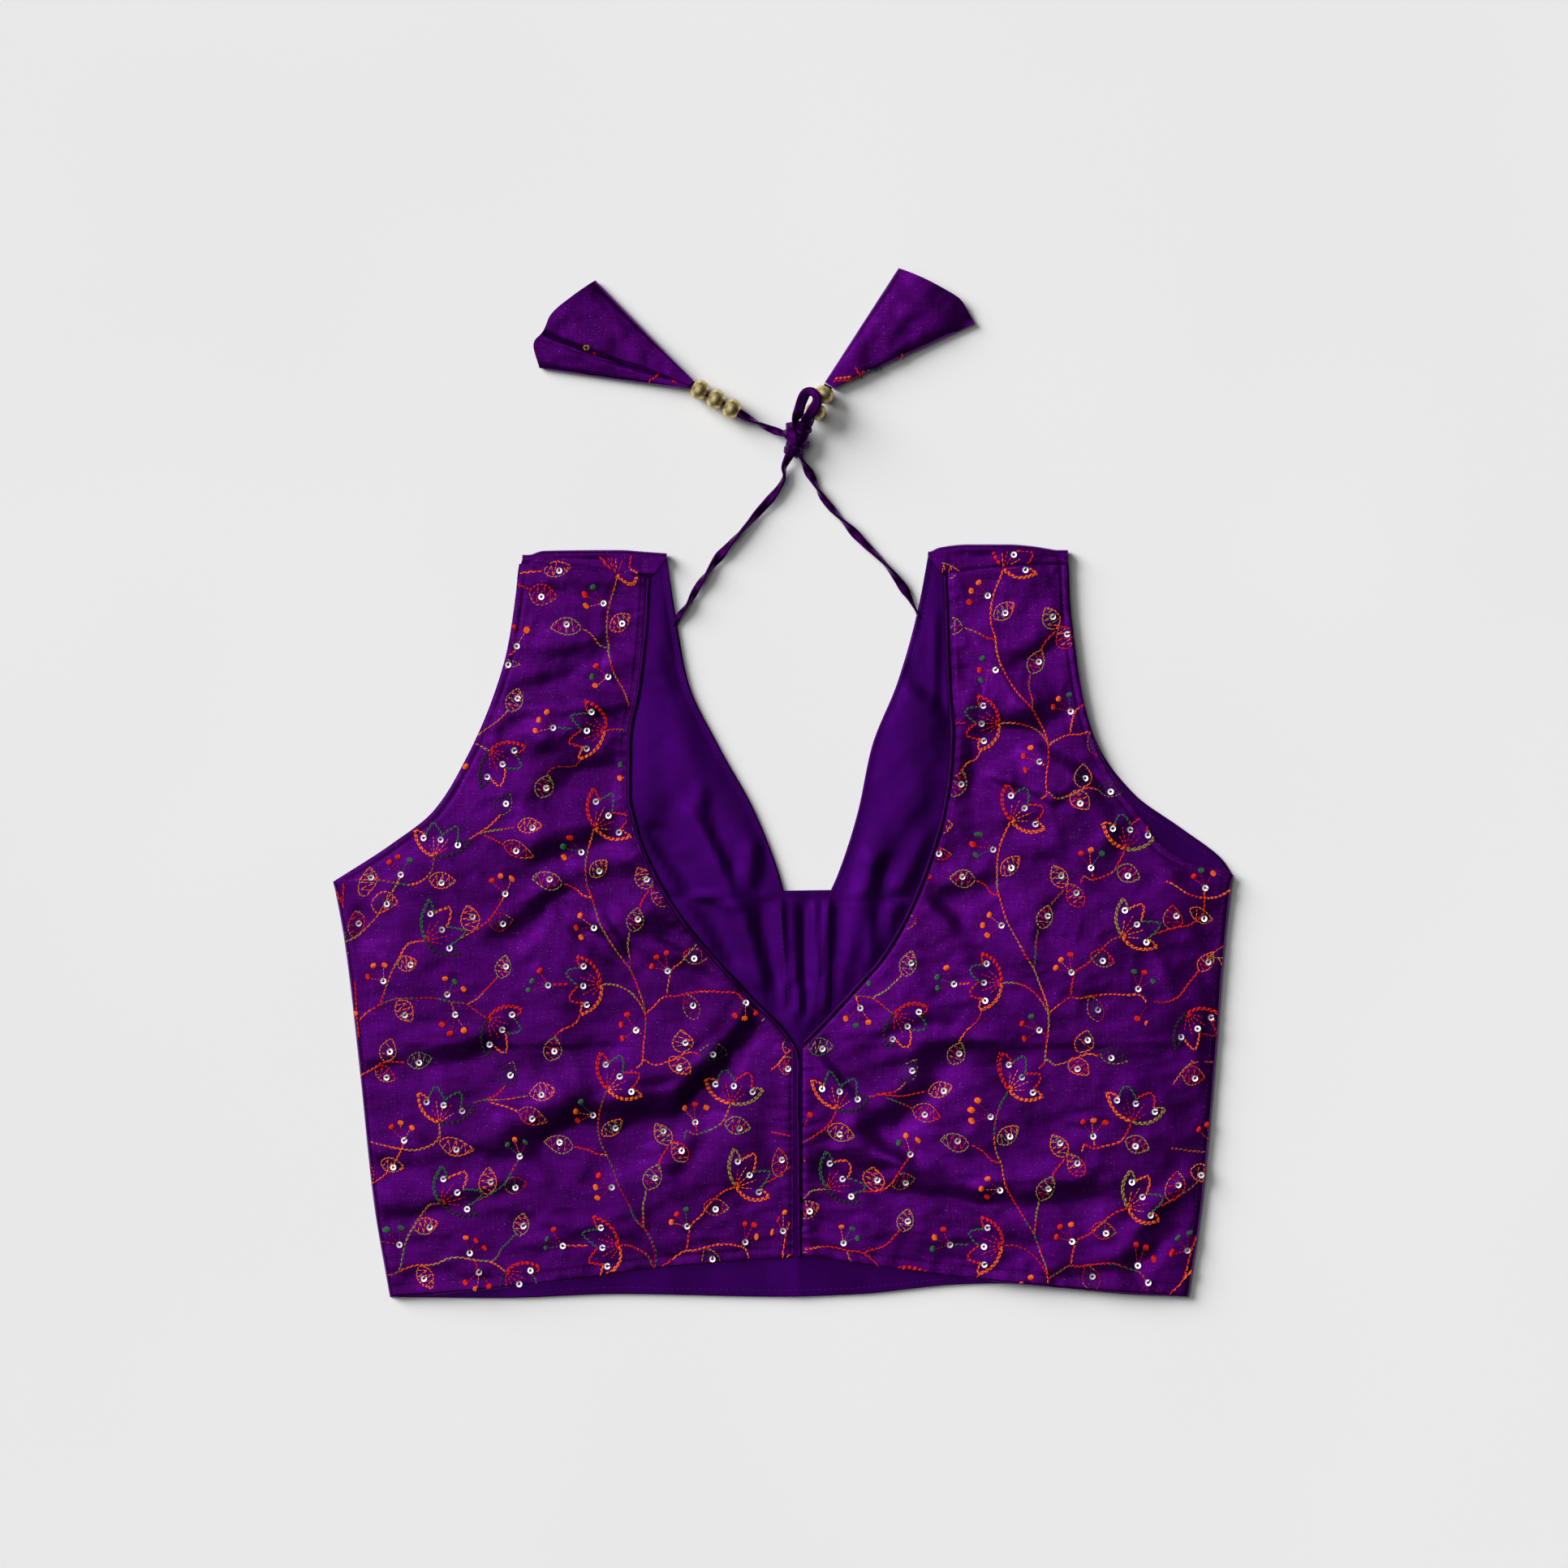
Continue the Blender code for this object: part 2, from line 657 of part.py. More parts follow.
def back_panel():
    """The back, flat on the table, with each strap carried over the shoulder to the shoulder seam."""
    edges = (outer_left, edge_of(BACK_NECK_LEFT), edge_of(BACK_NECK_RIGHT), outer_right)
    x, y = grid_between(BACK_LEVELS, edges, BACK_COUNTS)
    y = follow_hem(x, y, BACK_HEM, HEM_LEVEL, HEM_REACH)
    top_x = x[-1]
    fold_y = shoulder_y(top_x)
    radius = fold_radius(top_x, fold_y - SHOULDER_FOLD_IN)
    middle_y = fold_y - radius
    near_top = np.clip((y - STRAP_BEND_FROM) / (SHOULDER_FOLD_LEVEL - STRAP_BEND_FROM), 0, 1) ** 2
    y = y + (middle_y[None, :] - SHOULDER_FOLD_LEVEL) * near_top
    lower = np.dstack([x, y, np.zeros_like(x)])
    upper = np.dstack([x, y, np.full_like(x, SATIN_WALL)])
    inner = radius - SATIN_WALL
    for k in range(1, SHOULDER_FOLD_ANGLES + 1):
        angle = math.pi * k / SHOULDER_FOLD_ANGLES
        rows = []
        for reach in (radius, inner):
            fold_z = radius - reach * math.cos(angle)
            rows.append(np.column_stack([top_x, middle_y + reach * math.sin(angle), fold_z]))
        lower = np.concatenate([lower, rows[0][None]])
        upper = np.concatenate([upper, rows[1][None]])
    seam_x = over_shoulder_x(top_x)
    for k in range(1, OVER_ROWS + 1):
        share = k / OVER_ROWS
        over_x = top_x + (seam_x - top_x) * share
        over_y = middle_y + (seam_y(seam_x) - middle_y) * share
        over_z = front_top(over_x, over_y)
        lower = np.concatenate([lower, np.column_stack([over_x, over_y, over_z])[None]])
        upper = np.concatenate([upper, np.column_stack([over_x, over_y, over_z - SATIN_WALL])[None]])
    return sheet("back_panel", "satin", lower, upper, open_neck(lower, BACK_NECK_ROW, BACK_COUNTS))


def over_shoulder_x(top_x):
    """Where each column of a strap meets the shoulder seam: the neck side draws in to the front neck."""
    left, centre, right = BACK_COUNTS
    moved = top_x.copy()
    for first, last, neck_at, arm_at in (
        (0, left, left, 0),
        (left + centre, left + centre + right, left + centre, left + centre + right),
    ):
        side = slice(first, last + 1)
        neck_table = FRONT_NECK_LEFT if top_x[neck_at] < 0 else FRONT_NECK_RIGHT
        arm_edge = outer_left if top_x[neck_at] < 0 else outer_right
        neck_x = float(read(neck_table, seam_y(top_x[neck_at])))
        arm_x = float(arm_edge(seam_y(top_x[arm_at])))
        share = (top_x[side] - top_x[arm_at]) / (top_x[neck_at] - top_x[arm_at])
        moved[side] = arm_x + share * (neck_x - arm_x)
    return moved


def inset(edge, distance):
    return lambda y: edge(y) + distance


def back_lining():
    """The lining of the back, a little inside the back's edges and ending under the shoulder fold."""
    edges = (
        inset(outer_left, 2 * LINING_INSET),
        inset(edge_of(BACK_NECK_LEFT), -LINING_INSET),
        inset(edge_of(BACK_NECK_RIGHT), LINING_INSET),
        inset(outer_right, -2 * LINING_INSET),
    )
    x, y = grid_between(LINING_LEVELS, edges, LINING_COUNTS)
    y = follow_hem(x, y, BACK_HEM, HEM_LEVEL - LINING_INSET, HEM_REACH)
    near_top = np.clip((y - LINING_BEND_FROM) / (LINING_TOP_LEVEL - LINING_BEND_FROM), 0, 1) ** 2
    y = y + (shoulder_y(x) - LINING_SHORT_OF_SHOULDER - LINING_TOP_LEVEL) * near_top
    top = lining_top(x, y)
    upper = np.dstack([x, y, top])
    lower = np.dstack([x, y, top - LINING_WALL])
    return sheet("back_lining", "lining", lower, upper, open_neck(x, LINING_NECK_ROW, LINING_COUNTS))


def front_panel(name, levels, edges, hem):
    """A front, from its hem to the shoulder seam, over the folds of the cloth."""
    x, y = grid_between(levels, edges, (FRONT_COLUMNS,))
    y = follow_hem(x, y, hem, HEM_LEVEL, HEM_REACH)
    near_top = np.clip((y - STRAP_BEND_FROM) / (FRONT_TOP_LEVEL - STRAP_BEND_FROM), 0, 1) ** 2
    y = y + (seam_y(x) - SEAM_GAP - y[-1:]) * near_top
    bottom = front_bottom(x, y)
    lower = np.dstack([x, y, bottom])
    upper = np.dstack([x, y, bottom + FRONT_WALL])
    present = np.ones((x.shape[0] - 1, x.shape[1] - 1), bool)
    return sheet(name, "satin", lower, upper, present)


def smooth_path(points, step):
    """Places along a smooth curve through hand-placed points, about a step apart."""
    points = np.array(points, float)
    ends = np.concatenate([[2 * points[0] - points[1]], points, [2 * points[-1] - points[-2]]])
    fine = []
    for k in range(1, len(ends) - 2):
        a, b, c, d = ends[k - 1 : k + 3]
        for t in np.linspace(0, 1, PATH_FINENESS, endpoint=False):
            fine.append(
                0.5 * (2 * b + (c - a) * t + (2 * a - 5 * b + 4 * c - d) * t**2)
                + 0.5 * (3 * b - a - 3 * c + d) * t**3
            )
    fine.append(points[-1])
    fine = np.array(fine)
    run = np.concatenate([[0], np.cumsum(np.linalg.norm(np.diff(fine, axis=0), axis=1))])
    count = max(2, round(run[-1] / step))
    even = np.linspace(0, run[-1], count + 1)
    return np.column_stack([np.interp(even, run, fine[:, axis]) for axis in range(3)])


def cord(name, points, step):
    """A tie's tube, a little curve object with filled ends."""
    curve = bpy.data.curves.new(name, "CURVE")
    curve.dimensions = "3D"
    curve.bevel_depth = TIE_RADIUS * MM
    curve.bevel_resolution = 2
    curve.use_fill_caps = True
    curve.materials.append(finish("tie"))
    path = smooth_path(points, step)
    spline = curve.splines.new("POLY")
    spline.points.add(len(path) - 1)
    for point, place in zip(spline.points, path):
        point.co = (*(place * MM), 1.0)
    thing = bpy.data.objects.new(name, curve)
    bpy.context.scene.collection.objects.link(thing)
    return thing


def swept(name, finish_name, path, half_width, half_height, sides):
    """A closed rounded strip along a path, kept level."""
    path = np.array(path, float)
    run = np.gradient(path, axis=0)
    run /= np.linalg.norm(run, axis=1)[:, None]
    across = np.column_stack([run[:, 1], -run[:, 0], np.zeros(len(path))])
    across /= np.linalg.norm(across, axis=1)[:, None]
    points, faces = [], []
    for place, side in zip(path, across):
        for k in range(sides):
            angle = 2 * math.pi * (k + 0.5) / sides
            offset = side * half_width * math.cos(angle) / math.cos(math.pi / sides)
            rise = half_height * math.sin(angle)
            points.append(place + offset + np.array([0, 0, rise]))
    for r in range(len(path) - 1):
        for k in range(sides):
            a, b = r * sides + k, r * sides + (k + 1) % sides
            faces.append([a, a + sides, b + sides, b])
    faces.append(list(range(sides)))
    faces.append(list(reversed(range(len(points) - sides, len(points)))))
    return mesh_object(name, points, faces, finish_name)


def piping_path(neck, towards, down_centre):
    """The middle of a neck piping: down the neck edge and, on the left, on down the centre front."""
    middle = moved_in(neck, towards * PIPING_WIDTH / 2)
    top = float(seam_y(float(read(middle, PIPING_TOP)))) - 2 * SEAM_GAP
    end = neck[-1][0]
    rows = []
    for y in np.linspace(top, end + PIPING_TURN, PIPING_PLACES):
        rows.append((float(read(middle, y)), float(y), 0.0))
    if down_centre:
        hem = float(read(LEFT_FRONT_HEM, LEFT_FRONT_HEM[-1][0]))
        for y in np.arange(end - PIPING_TURN, hem, -PIPING_STEP * 2):
            rows.append((float(read(CENTRE_FRONT, y)), float(y), 0.0))
        rows.append((float(read(CENTRE_FRONT, hem)), hem, 0.0))
    else:
        foot = end + PIPING_FOOT
        rows.append((float(read(middle, foot)), foot, 0.0))
    path = smooth_path(rows, PIPING_STEP)
    path[:, 2] = front_bottom(path[:, 0], path[:, 1]) + FRONT_WALL / 2 + PIPING_RAISED
    return path


def lathe(name, finish_name, profile, segments):
    """A closed ring turned from a closed profile of (radius, along) round local Z."""
    points, faces = [], []
    count = len(profile)
    for s in range(segments):
        angle = 2 * math.pi * s / segments
        for radius, along in profile:
            points.append((radius * math.cos(angle), radius * math.sin(angle), along))
    for s in range(segments):
        following = (s + 1) % segments
        for k in range(count):
            a, b = s * count + k, s * count + (k + 1) % count
            c, d = following * count + (k + 1) % count, following * count + k
            faces.append([a, d, c, b])
    return mesh_object(name, points, faces, finish_name)


def bead(name, place, towards):
    """A bead turned round the tie that runs through it."""
    mouth = math.asin(BEAD_BORE / BEAD_RADIUS)
    profile = []
    for angle in np.linspace(math.pi - mouth, mouth, BEAD_ARC_POINTS):
        profile.append((BEAD_RADIUS * math.sin(angle), BEAD_HALF_LENGTH * math.cos(angle)))
    thing = lathe(name, "bead", profile, BEAD_SEGMENTS)
    thing.location = tuple(c * MM for c in place)
    turn = math.atan2(towards[1], towards[0])
    thing.rotation_euler = (0, math.pi / 2, turn)
    return thing


def knot():
    """The knot as one lump, its outline lobed where the ties and the bow leave it."""
    angles = np.radians(np.arange(-180, 180, KNOT_TURN))
    reach = read(KNOT_REACH, np.degrees(angles))
    middle = np.array(KNOT_MIDDLE)
    points = [middle - (0, 0, KNOT_HALF_HEIGHT)]
    for k in range(1, KNOT_RINGS):
        lean = math.pi * k / KNOT_RINGS
        flat = math.sin(lean) ** KNOT_ROUNDNESS
        for angle, far in zip(angles, reach):
            side = np.array([math.cos(angle), math.sin(angle), 0.0]) * far * flat
            points.append(middle + side - (0, 0, KNOT_HALF_HEIGHT * math.cos(lean)))
    points.append(middle + (0, 0, KNOT_HALF_HEIGHT))
    count = len(angles)
    faces = []
    for k in range(count):
        following = (k + 1) % count
        faces.append([0, 1 + following, 1 + k])
        for ring in range(KNOT_RINGS - 2):
            a = 1 + ring * count
            faces.append([a + k, a + following, a + count + following, a + count + k])
        last = 1 + (KNOT_RINGS - 2) * count
        faces.append([last + k, last + following, len(points) - 1])
    return mesh_object("knot", points, faces, "tie")


def tassel(name, tip, wide_end):
    """A flattened cone of satin, closed at its tip and open at its wide end."""
    tip = np.array(tip, float)
    end = np.array(wide_end, float)
    across = len(end)
    spread = end[-1, :2] - end[0, :2]
    spread = spread / np.linalg.norm(spread)
    outer, inner = [], []
    for row in range(TASSEL_ROWS + 1):
        share = row / TASSEL_ROWS
        ring_out, ring_in = [], []
        for sheet_index, columns in enumerate((range(across), reversed(range(across)))):
            for c in columns:
                fraction = c / (across - 1)
                near = tip + spread * (fraction - 0.5) * TASSEL_TIP_WIDTH
                place = near + (end[c, :2] - near) * share
                height = TASSEL_TIP_HEIGHT + (end[c, 2] - TASSEL_TIP_HEIGHT) * share
                upper = sheet_index == 1
                edge = c in (0, across - 1)
                seam = 0.5 * (TASSEL_FLOOR + height)
                if edge:
                    opening = min(height - TASSEL_FLOOR, TASSEL_SIDE_OPENING)
                    z = seam + (0.5 if upper else -0.5) * opening
                else:
                    z = height if upper else TASSEL_FLOOR
                pull = (1 - 2 * fraction) * TASSEL_WALL * TASSEL_SIDE_PULL if edge else 0.0
                wall = (-1 if upper else 1) * TASSEL_WALL * (TASSEL_SIDE_WALL if edge else 1.0)
                ring_out.append((*place, z))
                ring_in.append((*(place + spread * pull), z + wall))
        outer.append(ring_out)
        inner.append(ring_in)
    return hollow_cone(name, outer, inner, TASSEL_HOLLOW_FROM)


def hollow_cone(name, outer, inner, hollow_from):
    """A closed body between outer rings and inner ones, solid up to where the hollow starts."""
    rows, around = len(outer), len(outer[0])
    first = max(1, math.ceil(hollow_from * (rows - 1)))
    points = [p for ring in outer for p in ring]
    base = len(points)
    points += [p for ring in inner[first:] for p in ring]
    faces = [list(range(around))]
    for r in range(rows - 1):
        for k in range(around):
            a, b = r * around + k, r * around + (k + 1) % around
            faces.append([a, a + around, b + around, b])
    inner_rows = rows - first
    for r in range(inner_rows - 1):
        for k in range(around):
            a, b = base + r * around + k, base + r * around + (k + 1) % around
            faces.append([a, b, b + around, a + around])
    faces.append([base + k for k in reversed(range(around))])
    rim_out, rim_in = (rows - 1) * around, base + (inner_rows - 1) * around
    for k in range(around):
        following = (k + 1) % around
        faces.append([rim_out + k, rim_in + k, rim_in + following, rim_out + following])
    return mesh_object(name, points, faces, "satin")


def main():
    clear_scene()
    back_panel()
    back_lining()
    front_panel("front_left", FRONT_LEFT_LEVELS, (outer_left, front_inner_left), LEFT_FRONT_HEM)
    front_panel(
        "front_right", FRONT_RIGHT_LEVELS, (front_inner_right, front_outer_right), RIGHT_FRONT_HEM
    )
    for name, neck, towards, down in (
        ("piping_left", FRONT_NECK_LEFT, -1, True),
        ("piping_right", FRONT_NECK_RIGHT, 1, False),
    ):
        path = piping_path(neck, towards, down)
        swept(name, "piping", path, PIPING_WIDTH / 2, PIPING_HEIGHT / 2, PIPING_SIDES)
    for name, points, step in (
        ("tie_left", LEFT_TIE, TIE_STEP),
        ("tie_right", RIGHT_TIE, TIE_STEP),
        ("tie_left_end", LEFT_END, BENT_TIE_STEP),
        ("tie_right_end", RIGHT_END, BENT_TIE_STEP),
        ("bow_loop", BOW_LOOP, BENT_TIE_STEP),
    ):
        cord(name, points, step)
    knot()
    for side, places in (("left", LEFT_BEADS), ("right", RIGHT_BEADS)):
        for number, place in enumerate(places, 1):
            run = np.subtract(places[-1], places[0])
            bead(f"bead_{side}_{number}", place, run)
    tassel("tassel_left", LEFT_TASSEL_TIP, LEFT_TASSEL_END)
    tassel("tassel_right", RIGHT_TASSEL_TIP, RIGHT_TASSEL_END)


main()
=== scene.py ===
"""Choli blouse laid flat on a pale floor, front side up: the looks of every piece.

Tables and sizes are in millimetres, and MM turns them into metres. X runs to the viewer's right, Y up the
garment and Z off the floor. The origin is the middle of the blouse, on the floor.
"""

import math

import bpy
import numpy as np
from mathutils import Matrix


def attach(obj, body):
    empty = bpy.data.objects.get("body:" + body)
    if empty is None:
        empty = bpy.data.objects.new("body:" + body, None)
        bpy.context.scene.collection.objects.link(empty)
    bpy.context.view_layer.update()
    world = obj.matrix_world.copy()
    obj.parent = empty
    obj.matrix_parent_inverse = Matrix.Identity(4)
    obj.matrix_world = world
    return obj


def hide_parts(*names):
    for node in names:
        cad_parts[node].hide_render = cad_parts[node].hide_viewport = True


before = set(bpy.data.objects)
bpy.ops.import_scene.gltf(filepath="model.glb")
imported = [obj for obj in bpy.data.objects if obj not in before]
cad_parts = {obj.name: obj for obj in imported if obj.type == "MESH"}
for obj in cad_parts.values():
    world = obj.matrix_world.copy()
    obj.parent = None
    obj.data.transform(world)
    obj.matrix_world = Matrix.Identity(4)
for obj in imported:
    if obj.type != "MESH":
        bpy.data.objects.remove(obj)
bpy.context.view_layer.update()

MM = 0.001

# Cloth and seams
SATIN_WALL = 1.2
LINING_WALL = 1.0
FRONT_WALL = 1.3
SEAM_GAP = 0.3
LINING_INSET = 0.8
PIPING_WIDTH = 2.4
PIPING_HEIGHT = 1.6
LINING_BASE = SATIN_WALL + SEAM_GAP

# Outlines: (y, x) down each edge
LEFT_ARMHOLE = (
    (186.0, -126.5),
    (177.0, -131.8),
    (160.7, -133.9),
    (136.3, -137.9),
    (111.9, -145.3),
    (79.3, -159.9),
    (54.9, -175.4),
    (38.7, -196.1),
    (19.9, -225.2),
)
LEFT_SIDE = ((19.9, -225.2), (-10.2, -219.7), (-75.3, -212.0), (-140.4, -205.1), (-188.8, -196.9))
RIGHT_ARMHOLE = (
    (188.0, 136.5),
    (181.1, 142.4),
    (160.7, 143.4),
    (136.3, 146.1),
    (111.9, 150.1),
    (87.0, 158.5),
    (63.1, 176.6),
    (46.8, 199.4),
    (30.5, 220.5),
    (23.2, 225.2),
)
RIGHT_SIDE = ((23.2, 225.2), (-10.2, 221.4), (-75.3, 216.1), (-140.4, 210.0), (-188.8, 203.0))
BACK_NECK_LEFT = (
    (186.0, -59.2),
    (151.0, -53.7),
    (120.0, -47.6),
    (87.5, -32.1),
    (54.9, -14.2),
    (22.4, -1.6),
    (13.4, 0.8),
)
BACK_NECK_RIGHT = (
    (188.0, 74.0),
    (155.0, 67.5),
    (120.0, 57.4),
    (87.5, 44.4),
    (54.9, 37.4),
    (22.4, 26.9),
    (13.4, 22.8),
)
FRONT_NECK_LEFT = (
    (183.1, -65.5),
    (144.4, -68.0),
    (116.0, -71.2),
    (92.8, -75.7),
    (64.0, -76.3),
    (48.5, -73.0),
    (27.8, -65.3),
    (3.1, -51.0),
    (-20.3, -31.5),
    (-37.1, -16.0),
    (-51.4, -1.6),
    (-61.8, 6.6),
)
FRONT_NECK_RIGHT = (
    (183.1, 77.5),
    (170.9, 79.8),
    (147.3, 80.6),
    (116.0, 81.8),
    (92.6, 83.3),
    (73.2, 82.0),
    (48.5, 77.5),
    (27.8, 71.0),
    (5.7, 61.9),
    (-15.1, 50.2),
    (-34.5, 33.4),
    (-50.1, 19.1),
    (-61.8, 7.6),
)
CENTRE_FRONT = ((-61.8, 7.0), (-168.1, 8.1), (-190.0, 8.3))
RIGHT_FRONT_ARMHOLE = (
    (188.0, 136.5),
    (181.1, 142.4),
    (160.7, 143.4),
    (136.3, 146.1),
    (111.9, 150.1),
    (87.0, 157.6),
    (69.2, 166.8),
    (50.0, 181.5),
    (40.7, 187.6),
    (33.8, 196.9),
    (29.3, 207.5),
    (26.9, 219.3),
    (23.2, 225.2),
)

# Edges that run across: (x, y)
BACK_HEM = (
    (-197.0, -188.4),
    (-140.0, -188.8),
    (-83.0, -186.8),
    (0.0, -188.2),
    (36.0, -187.0),
    (90.0, -181.9),
    (108.0, -181.5),
    (136.0, -183.5),
    (177.0, -187.2),
    (203.0, -188.2),
)
LEFT_FRONT_HEM = ((-197.0, -187.9), (-183.0, -187.0), (-107.8, -179.5), (-59.0, -173.0), (7.3, -168.0))
RIGHT_FRONT_HEM = ((8.5, -166.4), (35.8, -170.9), (90.0, -178.2), (145.0, -183.5), (203.0, -187.9))
LEFT_SHOULDER = ((-126.5, 183.6), (-120.0, 185.6), (-82.0, 186.0), (-70.0, 185.2), (-59.2, 184.4))
RIGHT_SHOULDER = (
    (74.0, 185.2),
    (78.0, 187.2),
    (93.0, 188.8),
    (113.0, 188.8),
    (124.0, 188.0),
    (136.5, 186.0),
)
LEFT_SHOULDER_SEAM = ((-131.0, 179.0), (-105.0, 177.6), (-82.0, 174.4), (-66.0, 172.4))
RIGHT_SHOULDER_SEAM = ((79.0, 173.6), (100.0, 176.4), (120.0, 178.0), (142.0, 178.4))

# Main folds of the fronts, those of the solids. Columns: from x, from y, to x, to y, height, half width
FRONT_FOLDS = (
    (-115.6, 121.7, -92.0, 133.0, -1.0, 6.0),
    (-112.0, 108.0, -94.0, 114.0, 1.2, 8.0),
    (-108.0, 84.0, -92.0, 88.0, -1.8, 12.0),
    (-128.0, 52.0, -104.0, 58.0, 1.4, 16.0),
    (-115.6, 5.3, -133.9, -13.0, -1.7, 5.0),
    (-115.6, 8.5, -85.0, -19.1, -1.7, 5.0),
    (-66.7, -0.8, -35.8, -15.9, -1.6, 4.5),
    (-155.4, -43.5, -178.0, -20.0, 2.2, 22.0),
    (-118.0, -50.0, -112.0, -34.0, 2.4, 19.0),
    (-17.5, -40.7, -35.8, -68.0, -2.4, 7.0),
    (-35.8, -68.0, -54.1, -89.5, -3.0, 8.5),
    (-54.1, -89.5, -82.0, -89.5, -2.8, 8.0),
    (-82.0, -92.0, -106.0, -112.0, -2.4, 14.0),
    (-60.0, -46.0, -68.0, -62.0, 1.8, 12.0),
    (-34.0, -46.0, -46.0, -58.0, 1.6, 6.0),
    (-24.0, -104.0, -42.0, -124.0, 2.4, 17.0),
    (-140.0, -118.0, -150.0, -140.0, 1.8, 20.0),
    (-207.0, -68.0, -158.0, -70.0, -1.4, 4.5),
    (-201.0, -138.0, -168.0, -141.0, -1.2, 4.5),
    (-92.0, -140.0, -70.0, -158.0, 1.2, 12.0),
    (84.0, 150.0, 97.0, 128.0, -1.1, 6.0),
    (92.0, 106.0, 106.0, 88.0, -1.8, 11.0),
    (118.0, 96.0, 136.0, 80.0, -1.2, 4.5),
    (116.0, 80.0, 134.0, 94.0, -1.0, 4.5),
    (140.0, 60.0, 156.0, 44.0, 1.8, 14.0),
    (88.0, 20.0, 102.0, 4.0, -2.2, 14.0),
    (140.0, -8.0, 176.0, -26.0, 2.2, 26.0),
    (22.4, -65.1, 55.7, -98.5, -2.4, 6.0),
    (65.1, -65.1, 111.0, -68.0, -2.2, 8.0),
    (60.0, -36.0, 84.0, -44.0, 1.8, 14.0),
    (78.0, -98.0, 104.0, -106.0, 1.8, 14.0),
    (150.0, -88.0, 172.0, -106.0, 2.2, 22.0),
    (25.2, -123.3, 55.7, -129.4, -2.2, 6.0),
    (55.7, -129.4, 98.9, -135.5, -2.6, 7.0),
    (98.9, -135.5, 153.8, -138.3, -2.2, 7.0),
    (22.4, -117.2, 68.4, -147.7, -1.2, 4.0),
    (68.4, -147.7, 123.3, -163.2, -1.2, 4.5),
    (209.1, -132.2, 181.5, -163.2, -1.8, 6.0),
    (181.5, -163.2, 144.9, -172.1, -1.6, 6.0),
)
LINING_FOLDS = (
    (-62.0, 96.0, -50.0, 76.0, 1.0, 12.0),
    (-57.0, 129.4, -68.8, 126.1, 0.8, 4.0),
    (-44.0, 58.0, -25.0, 8.0, 1.3, 5.0),
    (-60.0, 30.0, -42.0, 2.0, -1.0, 6.0),
    (-52.0, 34.0, -25.0, -18.0, 1.1, 4.0),
    (55.7, 118.8, 78.0, 94.0, 0.8, 5.0),
    (68.4, 69.6, 40.0, 34.0, 1.2, 6.0),
    (40.0, 34.0, 34.6, -13.0, 1.3, 5.0),
    (55.7, 20.0, 54.0, 4.0, -1.0, 8.0),
)
